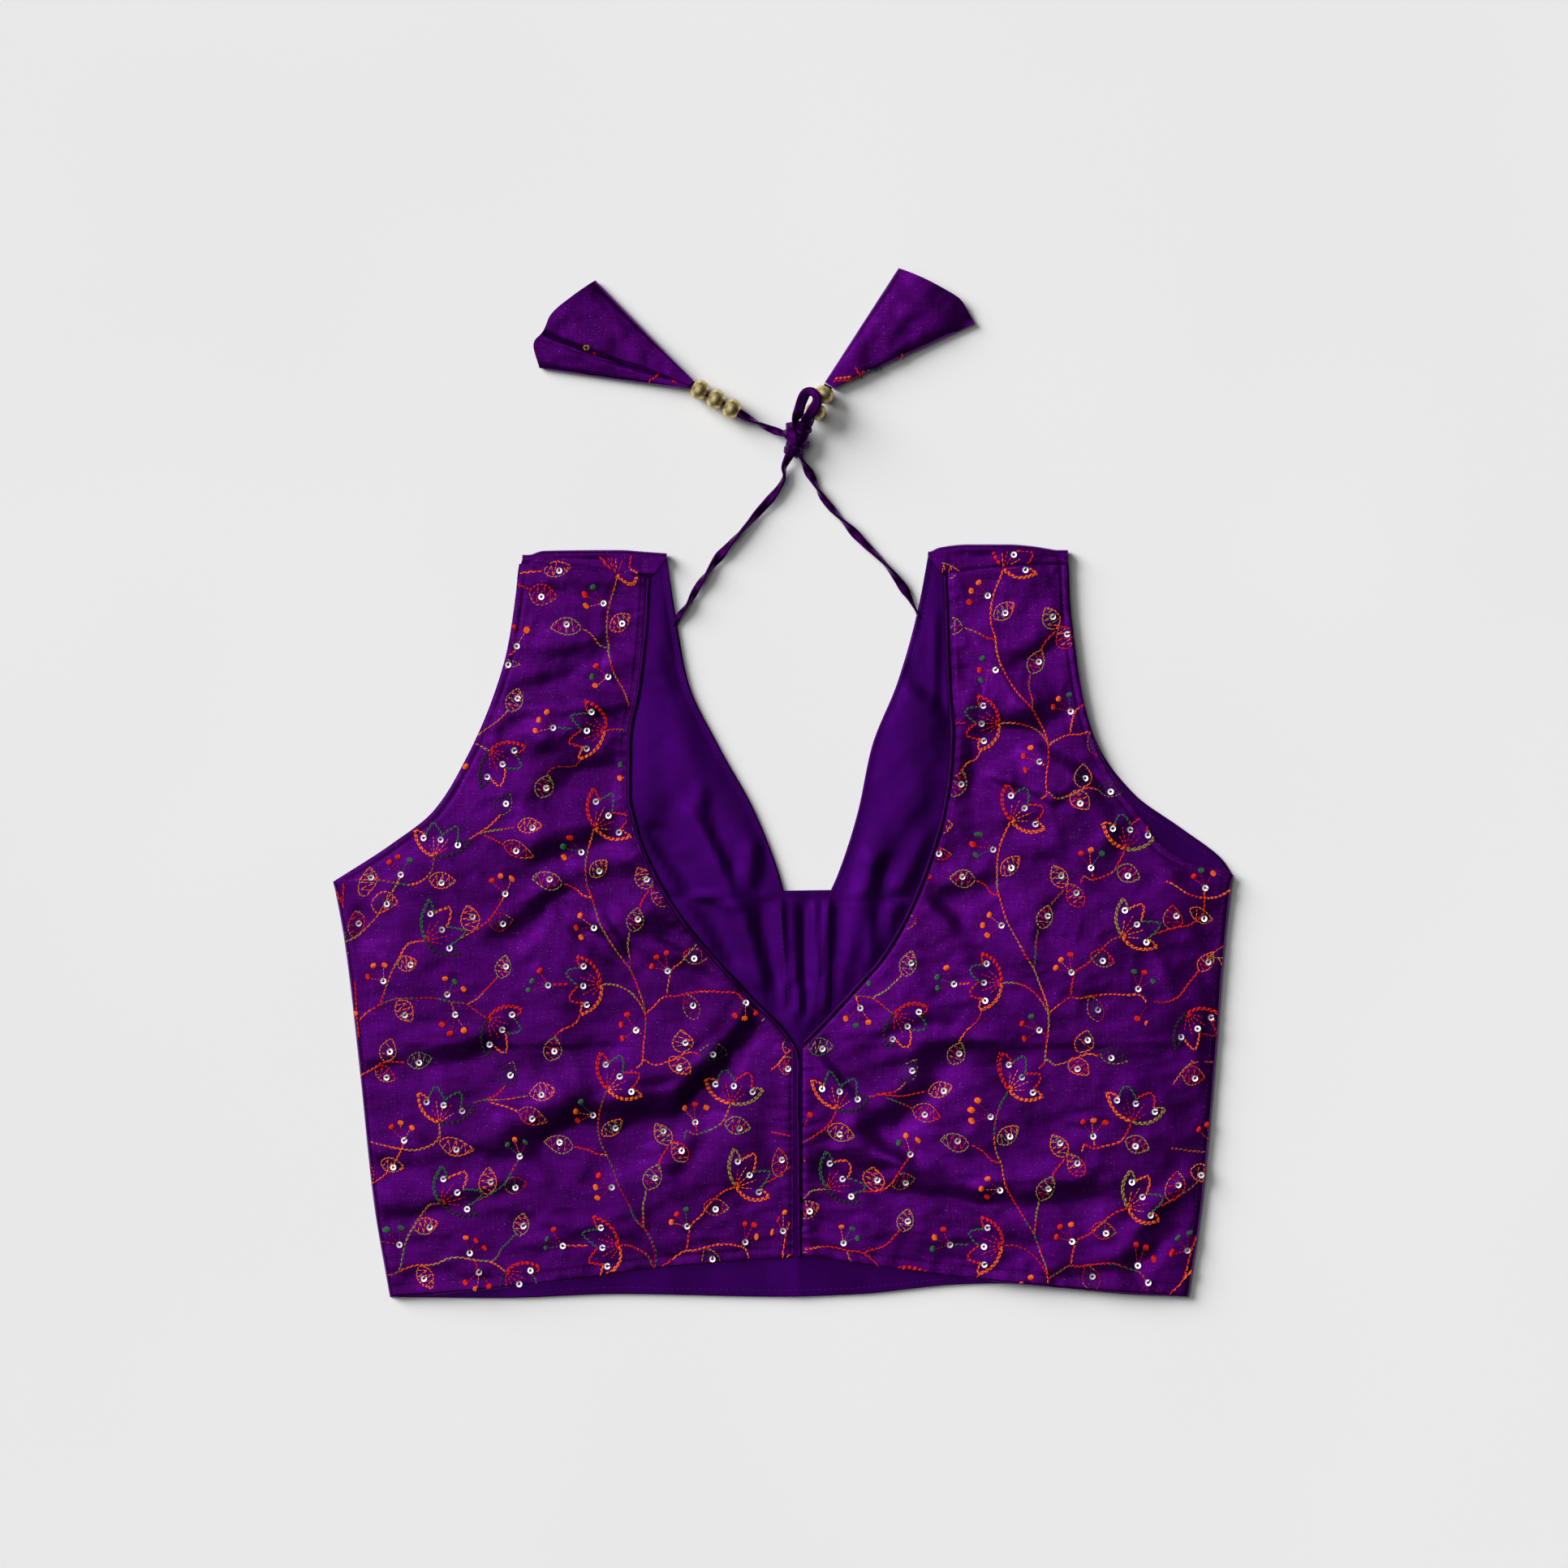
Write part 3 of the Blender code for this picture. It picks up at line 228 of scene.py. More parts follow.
# Creases that only the finer cloth has, in the same columns
FINE_CREASES = (
    # left strap
    (-122.0, 150.0, -96.0, 158.0, -0.35, 2.6),
    (-128.0, 132.0, -104.0, 144.0, 0.45, 3.4),
    (-120.0, 128.0, -92.0, 139.0, -0.55, 2.6),
    (-132.0, 114.0, -108.0, 122.0, -0.55, 3.0),
    (-126.0, 101.0, -98.0, 105.0, 0.5, 4.0),
    (-140.0, 92.0, -116.0, 94.0, -0.5, 4.0),
    (-104.0, 72.0, -82.0, 80.0, -0.6, 4.5),
    (-150.0, 74.0, -128.0, 64.0, 0.5, 4.5),
    (-98.0, 60.0, -80.0, 50.0, -0.45, 3.4),
    # left bust and side
    (-172.0, 44.0, -150.0, 34.0, -0.5, 5.0),
    (-206.0, 22.0, -178.0, 14.0, 0.5, 5.0),
    (-110.0, 2.0, -126.0, -20.0, -0.55, 2.4),
    (-128.0, 12.0, -112.0, 18.0, 0.5, 3.2),
    (-84.0, 26.0, -70.0, 12.0, 0.5, 3.6),
    (-92.0, 16.0, -72.0, 6.0, -0.6, 3.2),
    (-66.0, 6.0, -38.0, -4.0, 0.5, 3.0),
    (-62.0, -8.0, -32.0, -20.0, -0.6, 2.2),
    (-220.0, 6.0, -196.0, 2.0, -0.4, 3.0),
    (-214.0, -30.0, -192.0, -26.0, -0.4, 3.4),
    (-196.0, -74.0, -150.0, -78.0, 0.5, 4.0),
    (-208.0, -96.0, -176.0, -92.0, -0.4, 3.6),
    (-168.0, -58.0, -136.0, -66.0, -0.45, 4.0),
    # left waist
    (-20.0, -48.0, -40.0, -84.0, 0.6, 3.0),
    (-12.0, -52.0, -30.0, -86.0, -0.7, 2.6),
    (-48.0, -74.0, -84.0, -80.0, 0.7, 4.0),
    (-60.0, -98.0, -96.0, -104.0, 0.8, 4.5),
    (-96.0, -84.0, -120.0, -98.0, -0.8, 5.0),
    (-106.0, -112.0, -134.0, -104.0, -0.7, 5.0),
    (-20.0, -92.0, -46.0, -100.0, -0.5, 3.6),
    (-70.0, -118.0, -96.0, -128.0, -0.6, 4.4),
    (-110.0, -132.0, -140.0, -128.0, 0.6, 5.0),
    (-128.0, -150.0, -160.0, -146.0, -0.5, 3.6),
    (-50.0, -140.0, -78.0, -150.0, -0.5, 3.6),
    (-30.0, -150.0, -60.0, -162.0, 0.5, 3.6),
    (-196.0, -120.0, -170.0, -116.0, 0.4, 3.4),
    (-184.0, -158.0, -150.0, -166.0, 0.4, 4.0),
    # right strap
    (88.0, 168.0, 112.0, 160.0, -0.4, 2.6),
    (104.0, 166.0, 130.0, 172.0, 0.4, 3.0),
    (84.0, 140.0, 104.0, 134.0, 0.45, 3.4),
    (86.0, 124.0, 110.0, 116.0, -0.5, 3.0),
    (112.0, 132.0, 136.0, 126.0, -0.45, 3.6),
    (86.0, 96.0, 112.0, 100.0, 0.5, 3.8),
    (120.0, 108.0, 144.0, 100.0, 0.45, 4.0),
    (88.0, 78.0, 118.0, 86.0, -0.55, 3.0),
    (84.0, 64.0, 108.0, 70.0, 0.4, 3.4),
    (116.0, 88.0, 142.0, 92.0, -0.5, 2.4),
    (146.0, 74.0, 168.0, 60.0, 0.4, 4.0),
    # right bust and side
    (80.0, 40.0, 104.0, 34.0, -0.45, 4.0),
    (104.0, 24.0, 124.0, 10.0, 0.5, 5.0),
    (76.0, 8.0, 96.0, -6.0, -0.6, 3.6),
    (170.0, 34.0, 200.0, 22.0, -0.4, 4.0),
    (190.0, 0.0, 216.0, -4.0, 0.4, 4.0),
    (184.0, -40.0, 214.0, -36.0, -0.4, 4.0),
    (126.0, -34.0, 156.0, -40.0, -0.5, 4.4),
    (56.0, -20.0, 78.0, -30.0, -0.5, 3.6),
    # right waist
    (16.0, -62.0, 42.0, -92.0, -0.8, 2.4),
    (22.0, -60.0, 58.0, -90.0, 0.7, 3.0),
    (30.0, -58.0, 66.0, -82.0, -0.6, 2.6),
    (60.0, -58.0, 98.0, -60.0, 0.6, 3.6),
    (72.0, -74.0, 112.0, -76.0, -0.7, 3.6),
    (110.0, -66.0, 142.0, -74.0, -0.5, 4.4),
    (18.0, -98.0, 40.0, -112.0, 0.6, 3.4),
    (20.0, -108.0, 50.0, -122.0, -0.6, 2.6),
    (30.0, -114.0, 74.0, -122.0, 0.7, 3.8),
    (60.0, -138.0, 104.0, -146.0, 0.7, 4.0),
    (104.0, -128.0, 150.0, -130.0, 0.6, 4.0),
    (100.0, -146.0, 146.0, -150.0, -0.6, 3.6),
    (40.0, -140.0, 76.0, -158.0, 0.5, 3.0),
    (150.0, -140.0, 186.0, -134.0, -0.5, 4.4),
    (206.0, -120.0, 186.0, -150.0, 0.5, 3.6),
    (196.0, -156.0, 160.0, -176.0, -0.5, 3.2),
    (20.0, -150.0, 48.0, -160.0, -0.5, 3.0),
)
LINING_CREASES = (
    (-64.0, 150.0, -58.0, 120.0, 0.5, 5.0),
    (-60.0, 116.0, -44.0, 60.0, 0.6, 9.0),
    (-42.0, 66.0, -22.0, 10.0, 0.7, 3.0),
    (-36.0, 60.0, -16.0, 6.0, -0.5, 3.0),
    (-30.0, 40.0, -14.0, -14.0, 0.6, 2.6),
    (-66.0, 40.0, -46.0, 14.0, 0.7, 3.6),
    (-50.0, 28.0, -38.0, 2.0, -0.6, 3.4),
    (-58.0, 54.0, -50.0, 30.0, -0.4, 4.0),
    (-22.0, 30.0, -12.0, -8.0, -0.5, 2.6),
    (62.0, 150.0, 72.0, 120.0, 0.5, 4.0),
    (52.0, 104.0, 76.0, 84.0, 0.6, 4.0),
    (46.0, 92.0, 62.0, 70.0, -0.4, 4.0),
    (70.0, 62.0, 46.0, 30.0, 0.7, 3.6),
    (76.0, 54.0, 56.0, 26.0, -0.5, 4.0),
    (44.0, 30.0, 40.0, -10.0, 0.6, 3.0),
    (34.0, 30.0, 30.0, -18.0, -0.5, 2.6),
    (50.0, 24.0, 48.0, -10.0, -0.6, 3.0),
    # the two dart seams of the centre back and the soft fold between them
    (-2.4, 11.0, 5.0, -52.0, 0.55, 1.6),
    (22.4, 11.0, 13.0, -52.0, 0.55, 1.6),
    (8.5, 12.0, 9.5, -40.0, -0.4, 2.6),
    (15.6, 12.0, 12.4, -34.0, 0.35, 2.2),
)

# Slopes that lie away from the light, where the cloth goes dark. Columns: the line, falling to the right of the
# way along it; half width; steepness
FRONT_SLOPES = (
    # left strap
    (((-132.0, 133.0), (-112.0, 134.0), (-93.5, 136.5)), 5.5, 1.2),
    (((-134.5, 118.0), (-116.0, 123.0), (-91.5, 125.0), (-77.5, 121.0)), 6.4, 1.3),
    (((-140.5, 97.5), (-128.0, 104.5), (-108.0, 104.5), (-77.5, 105.5)), 4.4, 1.12),
    (((-124.0, 85.5), (-99.5, 93.5)), 6.4, 0.95),
    (((-116.0, 70.5), (-101.5, 76.0), (-75.5, 80.0)), 9.0, 1.4),
    (((-148.5, 77.5), (-132.0, 89.5)), 4.9, 0.78),
    (((-132.0, 85.5), (-108.0, 89.5), (-77.5, 93.5)), 15.0, 0.6),
    (((-130.0, 166.5), (-71.0, 168.0)), 4.5, 0.9),
    # left bust
    (((-79.5, -14.0), (-61.0, -18.5), (-38.5, -22.5)), 4.8, 1.2),
    (((-99.5, -2.0), (-89.5, -6.0)), 3.4, 1.1),
    (((-120.0, 34.0), (-108.0, 38.5), (-91.5, 43.5)), 7.4, 1.35),
    (((-99.5, 23.0), (-85.0, 27.0), (-71.0, 26.0)), 5.8, 1.3),
    (((-141.0, -4.0), (-128.0, 4.0), (-112.0, 17.5)), 5.4, 1.34),
    (((-78.5, -13.5), (-89.5, 3.0)), 2.9, 1.46),
    (((-77.5, -7.0), (-61.0, 0.0), (-47.0, 2.0)), 7.8, 0.95),
    (((-217.0, -12.0), (-215.5, 2.0)), 4.4, 0.78),
    (((-209.5, -72.0), (-181.0, -69.5), (-152.5, -63.0)), 5.9, 0.9),
    (((-152.5, -61.0), (-138.5, -53.0)), 4.0, 0.78),
    # left waist
    (((-108.0, -99.0), (-83.5, -95.0), (-61.0, -88.5), (-47.0, -82.5)), 11.5, 1.5),
    (((-47.0, -85.5), (-39.5, -76.0), (-29.5, -63.0), (-13.5, -47.0)), 6.2, 1.75),
    (((-136.5, -110.0), (-122.0, -107.0), (-106.0, -99.5)), 9.2, 1.25),
    (((-93.5, -118.0), (-83.5, -110.0)), 7.0, 1.1),
    (((-204.5, -120.0), (-189.0, -117.5)), 4.9, 0.78),
    (((-201.5, -147.0), (-181.0, -143.0), (-158.5, -137.0), (-134.5, -130.5)), 4.0, 1.12),
    (((-55.0, -125.0), (-43.5, -110.0)), 4.9, 0.9),
    (((-47.0, -154.5), (-32.5, -140.5)), 3.4, 0.56),
    (((-198.0, -175.5), (-173.0, -173.0), (-148.5, -175.5)), 4.0, 0.67),
    (((-124.0, -165.0), (-108.0, -156.5), (-91.5, -154.5)), 3.4, 0.56),
    # right strap
    (((130.0, 140.5), (136.5, 149.5), (141.0, 156.0)), 5.9, 0.78),
    (((118.0, 134.0), (134.5, 138.5)), 4.4, 0.9),
    (((83.5, 99.5), (97.5, 104.0), (114.0, 100.5)), 9.7, 1.23),
    (((110.0, 93.5), (122.0, 99.5), (134.5, 108.5)), 5.9, 1.01),
    (((90.5, 73.0), (93.5, 85.5), (101.5, 95.5)), 6.4, 1.12),
    (((156.5, 68.0), (144.5, 77.5), (128.0, 88.5), (110.0, 93.5)), 4.4, 1.57),
    (((106.0, 70.5), (120.0, 66.5), (132.0, 60.5)), 2.9, 1.57),
    (((134.5, 58.0), (148.5, 70.5)), 2.4, 0.9),
    # right bust
    (((114.0, 50.0), (126.0, 53.5)), 4.0, 0.67),
    (((81.5, 15.0), (99.5, 20.0)), 5.4, 1.01),
    (((85.5, 1.0), (71.0, 14.0)), 4.0, 1.34),
    (((163.0, 36.5), (171.0, 47.0), (177.0, 51.0)), 4.4, 0.78),
    (((128.0, -4.0), (133.0, 8.0)), 4.4, 0.67),
    (((193.5, 0.0), (209.5, 3.0)), 4.4, 0.67),
    (((212.0, -83.5), (211.0, -65.0), (213.0, -40.5)), 4.4, 0.9),
    # right waist
    (((53.0, -54.0), (67.0, -48.5), (81.5, -49.0)), 4.0, 0.9),
    (((59.0, -69.5), (75.5, -64.0), (95.5, -63.0), (110.0, -67.0), (118.0, -77.5)), 5.4, 1.34),
    (((45.0, -101.5), (59.0, -92.5), (71.0, -77.5)), 7.3, 1.34),
    (((42.5, -88.5), (30.5, -80.0), (18.5, -63.0)), 3.4, 1.57),
    (((63.0, -120.0), (51.0, -112.5), (38.0, -99.0)), 4.0, 1.46),
    (
        ((28.5, -119.0), (47.0, -125.0), (67.0, -131.0), (95.5, -135.5), (120.0, -137.0), (148.5, -134.0)),
        5.9,
        1.34,
    ),
    (((173.0, -171.0), (182.0, -158.5), (191.0, -144.5), (207.5, -133.0)), 5.4, 1.34),
    (((136.5, -175.0), (156.5, -173.0), (175.0, -169.0)), 4.4, 0.9),
)
LINING_SLOPES = (
    # long folds left of the neck, and the hollow behind the strap
    (((-30.5, -20.5), (-40.5, -8.0), (-55.0, 14.0), (-67.0, 38.5)), 5.5, 1.1),
    (((-24.5, 10.0), (-30.5, 30.5), (-40.5, 55.0)), 2.8, 1.2),
    (((-62.0, 60.0), (-66.0, 90.0), (-64.0, 125.0)), 9.0, 0.28),
    # left of the neck
    (((-30.5, -19.0), (-38.5, 2.0), (-55.0, 25.5), (-67.0, 40.5)), 4.1, 1.6),
    (((-19.0, -4.0), (-24.5, 18.5), (-34.5, 38.5), (-45.0, 55.0)), 1.6, 1.6),
    (((-8.0, -28.5), (-13.5, -6.0), (-15.5, 14.0), (-12.0, 34.5)), 3.7, 1.4),
    # centre back
    (((2.0, -42.0), (0.5, 12.0)), 2.0, 1.3),
    (((10.0, -44.0), (9.5, 12.0)), 2.2, 1.3),
    (((23.0, -44.0), (25.0, 12.0)), 2.2, 1.3),
    (((34.0, -40.0), (38.0, 10.0)), 2.4, 1.2),
    (((7.0, -28.5), (5.5, 10.0)), 2.8, 1.2),
    (((32.5, -40.5), (30.5, -22.5)), 2.8, 1.0),
    (((18.5, -26.5), (17.5, 10.0)), 1.6, 0.8),
    (((-6.0, -45.0), (-8.0, -24.5)), 3.3, 1.0),
    # right of the neck
    (((53.0, -20.5), (59.0, 2.0), (67.0, 22.5), (76.0, 38.5)), 5.3, 1.3),
    (((47.0, -20.5), (45.0, 6.0), (49.0, 29.5)), 3.7, 1.0),
    (((81.5, 104.0), (61.0, 122.0)), 5.7, 0.9),
    (((78.0, 110.0), (78.5, 152.5)), 2.4, 1.2),
)
SLOPE_DROP = 0.15

FRONT_LIFT = 2.4
FRONT_LIFT_REACH = 20.0
NECK_LIFT = 0.5
LEAST_LIFT = 0.3
LINING_LIFT = 1.1
LINING_LIFT_REACH = 9.0
LINING_UNDER_FRONT = 5.0
FOLD_FADE = 9.0
SOFTNESS = 0.35

# Ties, knot and bow: (x, y, z) along each cord's middle
TIE_REST = 2.2
LEFT_TIE = (
    (-54.4, 147.6, TIE_REST),
    (-52.6, 152.4, TIE_REST),
    (-46.8, 160.4, TIE_REST),
    (-42.0, 168.9, TIE_REST),
    (-33.8, 180.4, TIE_REST),
    (-26.7, 189.0, TIE_REST),
    (-19.1, 197.3, TIE_REST),
    (-12.0, 205.3, TIE_REST),
    (-4.9, 213.4, TIE_REST),
    (-0.6, 219.6, TIE_REST),
    (0.6, 223.6, TIE_REST + 0.3),
    (0.4, 227.4, TIE_REST + 1.0),
    (2.9, 232.8, TIE_REST + 1.9),
)
LEFT_IN_KNOT = ((5.2, 237.4, 5.2), (4.6, 241.2, 5.2))
LEFT_END = (
    (1.3, 243.5, 4.3),
    (-7.3, 246.8, 3.4),
    (-15.0, 250.6, 3.9),
    (-20.4, 253.4, 4.8),
    (-25.7, 256.4, 5.2),
    (-33.7, 261.1, 5.2),
    (-41.7, 265.8, 5.2),
    (-46.3, 268.6, 4.8),
)
RIGHT_TIE = (
    (68.4, 151.6, TIE_REST),
    (66.0, 156.8, TIE_REST),
    (60.6, 166.4, TIE_REST),
    (51.5, 178.4, TIE_REST),
    (41.0, 189.0, TIE_REST),
    (33.0, 197.3, TIE_REST),
    (25.4, 205.5, TIE_REST),
    (18.9, 213.6, TIE_REST),
    (14.8, 221.6, TIE_REST + 0.3),
    (11.7, 226.8, TIE_REST + 1.0),
    (8.9, 232.5, TIE_REST + 1.9),
)
RIGHT_IN_KNOT = ((7.2, 238.0, 5.4), (5.0, 244.0, 6.0))
BOW_LOOP = (
    (5.6, 249.5, 6.8),
    (7.6, 254.2, 8.2),
    (9.2, 259.6, 9.8),
    (11.4, 263.6, 11.6),
    (14.8, 264.0, 12.8),
    (16.8, 261.0, 13.0),
    (16.2, 257.2, 12.8),
    (13.6, 253.2, 11.4),
    (10.4, 249.8, 8.4),
)
LOOP_MIDDLE = (12.0, 258.6, 11.5)
LOOP_TO_END = ((9.0, 247.0, 6.6), (11.2, 246.4, 5.2))
RIGHT_END = (
    (13.3, 248.8, 5.0),
    (14.9, 252.2, 5.2),
    (16.3, 255.2, 5.2),
    (20.3, 263.5, 5.2),
    (22.6, 267.9, 5.0),
)
BEAD_RADIUS = 5.1
BEAD_HALF_LENGTH = 4.55
BEAD_BORE = 2.6
LEFT_BEADS = ((-25.7, 256.4, 5.2), (-33.7, 261.1, 5.2), (-41.7, 265.8, 5.2))
RIGHT_BEADS = ((16.3, 255.2, 5.2), (20.3, 263.5, 5.2))

# Tassels: the tip, then the wide end from one corner to the other. Columns: x, y, height of the upper fold
TASSEL_WALL = 0.8
TASSEL_FLOOR = 0.1
TASSEL_TIP_WIDTH = 5.6
TASSEL_TIP_HEIGHT = 5.0
LEFT_TASSEL_TIP = (-46.8, 268.9)
LEFT_TASSEL_END = (
    (-94.0, 321.0, 3.6),
    (-105.0, 312.9, 6.0),
    (-115.6, 304.0, 6.6),
    (-119.6, 295.8, 6.0),
    (-124.9, 288.9, 5.4),
    (-122.1, 277.1, 3.6),
)
RIGHT_TASSEL_TIP = (23.1, 268.3)
RIGHT_TASSEL_END = (
    (96.0, 299.5, 3.6),
    (92.4, 305.6, 5.4),
    (87.9, 312.0, 6.0),
    (75.7, 319.0, 6.6),
    (66.0, 323.6, 6.0),
    (57.8, 327.1, 3.6),
)


def read(table, at):
    """A smooth curve through (position, value) rows that never overshoots them, read at some positions."""
    rows = np.array(sorted(row[:2] for row in table), float)
    places, values = rows[:, 0], rows[:, 1]
    at = np.clip(np.asarray(at, float), places[0], places[-1])
    steps = np.diff(places)
    slopes = np.diff(values) / steps
    tangents = np.zeros(len(places))
    tangents[0], tangents[-1] = slopes[0], slopes[-1]
    for k in range(1, len(places) - 1):
        before, after = slopes[k - 1], slopes[k]
        if before * after > 0:
            weight = 2 * steps[k] + steps[k - 1], steps[k] + 2 * steps[k - 1]
            tangents[k] = sum(weight) / (weight[0] / before + weight[1] / after)
    cell = np.clip(np.searchsorted(places, at) - 1, 0, len(steps) - 1)
    width = steps[cell]
    t = (at - places[cell]) / width
    return (
        (1 + 2 * t) * (1 - t) ** 2 * values[cell]
        + t * (1 - t) ** 2 * width * tangents[cell]
        + t**2 * (3 - 2 * t) * values[cell + 1]
        - t**2 * (1 - t) * width * tangents[cell + 1]
    )


def moved_in(table, distance):
    """An edge's (y, x) rows moved sideways by a distance, square to the edge; positive is towards +X."""
    rows = np.array(table, float)
    run = np.gradient(rows, axis=0)
    run /= np.hypot(run[:, 0], run[:, 1])[:, None]
    return tuple(zip(rows[:, 0] + distance * run[:, 1], rows[:, 1] - distance * run[:, 0]))


def folds(table, x, y):
    """The height that the folds of a table add at each place."""
    total = np.zeros(np.broadcast(x, y).shape)
    for x0, y0, x1, y1, height, half_width in table:
        run_x, run_y = x1 - x0, y1 - y0
        along = ((x - x0) * run_x + (y - y0) * run_y) / (run_x**2 + run_y**2)
        along = np.clip(along, 0, 1)
        away = np.hypot(x - x0 - along * run_x, y - y0 - along * run_y)
        total = total + height * np.exp(-((away / half_width) ** 2))
    return total


def slopes(table, x, y):
    """The height that the slopes of a table add: a rise, a steep fall over the line and a slow way back up."""
    total = np.zeros(np.broadcast(x, y).shape)
    for points, half_width, steepness in table:
        nearest = np.full(total.shape, np.inf)
        height = np.zeros(total.shape)
        for (x0, y0), (x1, y1) in zip(points[:-1], points[1:]):
            length = math.hypot(x1 - x0, y1 - y0)
            run_x, run_y = (x1 - x0) / length, (y1 - y0) / length
            along = (x - x0) * run_x + (y - y0) * run_y
            beyond = (along - np.clip(along, 0, length)) / half_width
            across = ((x - x0) * run_y - (y - y0) * run_x) / half_width
            away = np.hypot(beyond, across)
            here = -across * np.exp(0.5 - 0.5 * across**2 - 0.6 * beyond**2)
            height = np.where(away < nearest, here, height)
            nearest = np.minimum(nearest, away)
        total += SLOPE_DROP * half_width * steepness * height
    return total


def noise(x, y, size, seed):
    """Smooth noise from -1 to 1, with features about size across."""
    table = np.random.default_rng(seed).uniform(-1, 1, (64, 64))
    u, v = np.asarray(x) / size + 500, np.asarray(y) / size + 500
    i, j = np.floor(u).astype(int), np.floor(v).astype(int)
    f, g = u - i, v - j
    f = f**3 * (f * (f * 6 - 15) + 10)
    g = g**3 * (g * (g * 6 - 15) + 10)
    low = table[i % 64, j % 64] * (1 - f) + table[(i + 1) % 64, j % 64] * f
    high = table[i % 64, (j + 1) % 64] * (1 - f) + table[(i + 1) % 64, (j + 1) % 64] * f
    return low * (1 - g) + high * g


def rising(distance, reach):
    """0 at an edge and 1 well inside it."""
    return 1 - np.exp(-((np.maximum(distance, 0) / reach) ** 2))


def outer_left(y):
    return np.where(np.asarray(y) > LEFT_SIDE[0][0], read(LEFT_ARMHOLE, y), read(LEFT_SIDE, y))


def outer_right(y):
    return np.where(np.asarray(y) > RIGHT_SIDE[0][0], read(RIGHT_ARMHOLE, y), read(RIGHT_SIDE, y))


def front_outer_right(y):
    return np.where(np.asarray(y) > RIGHT_SIDE[0][0], read(RIGHT_FRONT_ARMHOLE, y), read(RIGHT_SIDE, y))


LEFT_PANEL_NECK = moved_in(FRONT_NECK_LEFT, -(PIPING_WIDTH + SEAM_GAP))
RIGHT_PANEL_NECK = moved_in(FRONT_NECK_RIGHT, PIPING_WIDTH + SEAM_GAP)
CENTRE_HALF_GAP = PIPING_WIDTH / 2 + SEAM_GAP


def front_inner_left(y):
    """Where the left front ends towards the neck and the centre front."""
    return np.minimum(read(LEFT_PANEL_NECK, y), read(CENTRE_FRONT, y) - CENTRE_HALF_GAP)


def front_inner_right(y):
    return np.maximum(read(RIGHT_PANEL_NECK, y), read(CENTRE_FRONT, y) + CENTRE_HALF_GAP)


def shoulder_y(x):
    return np.where(np.asarray(x) < 0, read(LEFT_SHOULDER, x), read(RIGHT_SHOULDER, x))


def seam_y(x):
    return np.where(np.asarray(x) < 0, read(LEFT_SHOULDER_SEAM, x), read(RIGHT_SHOULDER_SEAM, x))


def lining_top(x, y):
    """The lining's upper face as the solids have it: lifted off the back inside the neck."""
    inside_front = np.maximum(read(FRONT_NECK_LEFT, y) - x, x - read(FRONT_NECK_RIGHT, y))
    shown = 1 / (1 + np.exp(np.clip(inside_front / LINING_UNDER_FRONT, -60, 60)))
    from_gap = np.maximum(read(BACK_NECK_LEFT, y) - x, x - read(BACK_NECK_RIGHT, y))
    from_neck = np.maximum(from_gap, BACK_NECK_LEFT[-1][0] - y)
    lift = LINING_LIFT * rising(from_neck, LINING_LIFT_REACH) * rising(178.0 - y, 30.0)
    height = shown * (lift + folds(LINING_FOLDS, x, y) * rising(from_neck, FOLD_FADE))
    return LINING_BASE + LINING_WALL + 0.5 * (height + np.sqrt(height**2 + 0.04)) - 0.1


def front_bottom(x, y):
    """The fronts' underside: down on the lining at the seams, lifted by the folds between them."""
    y = np.asarray(y)
    from_side = np.minimum(x - outer_left(y), front_outer_right(y) - x)
    from_neck = np.maximum(read(FRONT_NECK_LEFT, y) - x, x - read(FRONT_NECK_RIGHT, y))
    from_neck = np.where(y < FRONT_NECK_LEFT[-1][0], FRONT_LIFT_REACH, from_neck)
    strap = 1 / (1 + np.exp(-(y - 95.0) / 14.0))
    lift = NECK_LIFT + (FRONT_LIFT - NECK_LIFT) * rising(from_side, FRONT_LIFT_REACH) * (
        0.35 + 0.65 * rising(from_neck, FRONT_LIFT_REACH)
    ) * (1 - 0.45 * strap)
    lift = lift * rising(from_side + 2.0, 6.0)
    rise = lift + folds(FRONT_FOLDS, x, y) * rising(from_side, FOLD_FADE) - LEAST_LIFT
    rise = LEAST_LIFT + 0.5 * (rise + np.sqrt(rise**2 + SOFTNESS**2))
    return lining_top(x, y) + SEAM_GAP + rise


class Edge:
    """A panel's edge x(y), read by the distance in from it and by the place along it."""

    def __init__(self, curve, low, high, inward):
        self.y = np.linspace(low, high, 500)
        self.x = curve(self.y)
        self.slope = np.gradient(self.x, self.y)
        steps = np.hypot(np.diff(self.x), np.diff(self.y))
        self.run = np.concatenate([[0], np.cumsum(steps)])
        self.inward = inward

    def near(self, x, y):
        slope = np.interp(y, self.y, self.slope)
        across = x - np.interp(y, self.y, self.x)
        foot = y + slope * across / (1 + slope**2)
        return self.inward * across / np.hypot(1, slope), np.interp(foot, self.y, self.run)

    def at(self, away, along):
        """Places at a distance in from the edge, by the place along it."""
        y = np.interp(along, self.run, self.y)
        slope = np.interp(y, self.y, self.slope)
        x = np.interp(y, self.y, self.x)
        turn = np.hypot(1, slope)
        return x + self.inward * away / turn, y - self.inward * away * slope / turn


LOWEST = -192.0
INNER_LEFT = Edge(front_inner_left, LOWEST, 176.0, -1)
INNER_RIGHT = Edge(front_inner_right, LOWEST, 176.0, 1)
OUTER_LEFT = Edge(outer_left, LOWEST, 184.0, 1)
OUTER_RIGHT = Edge(front_outer_right, LOWEST, 186.0, -1)


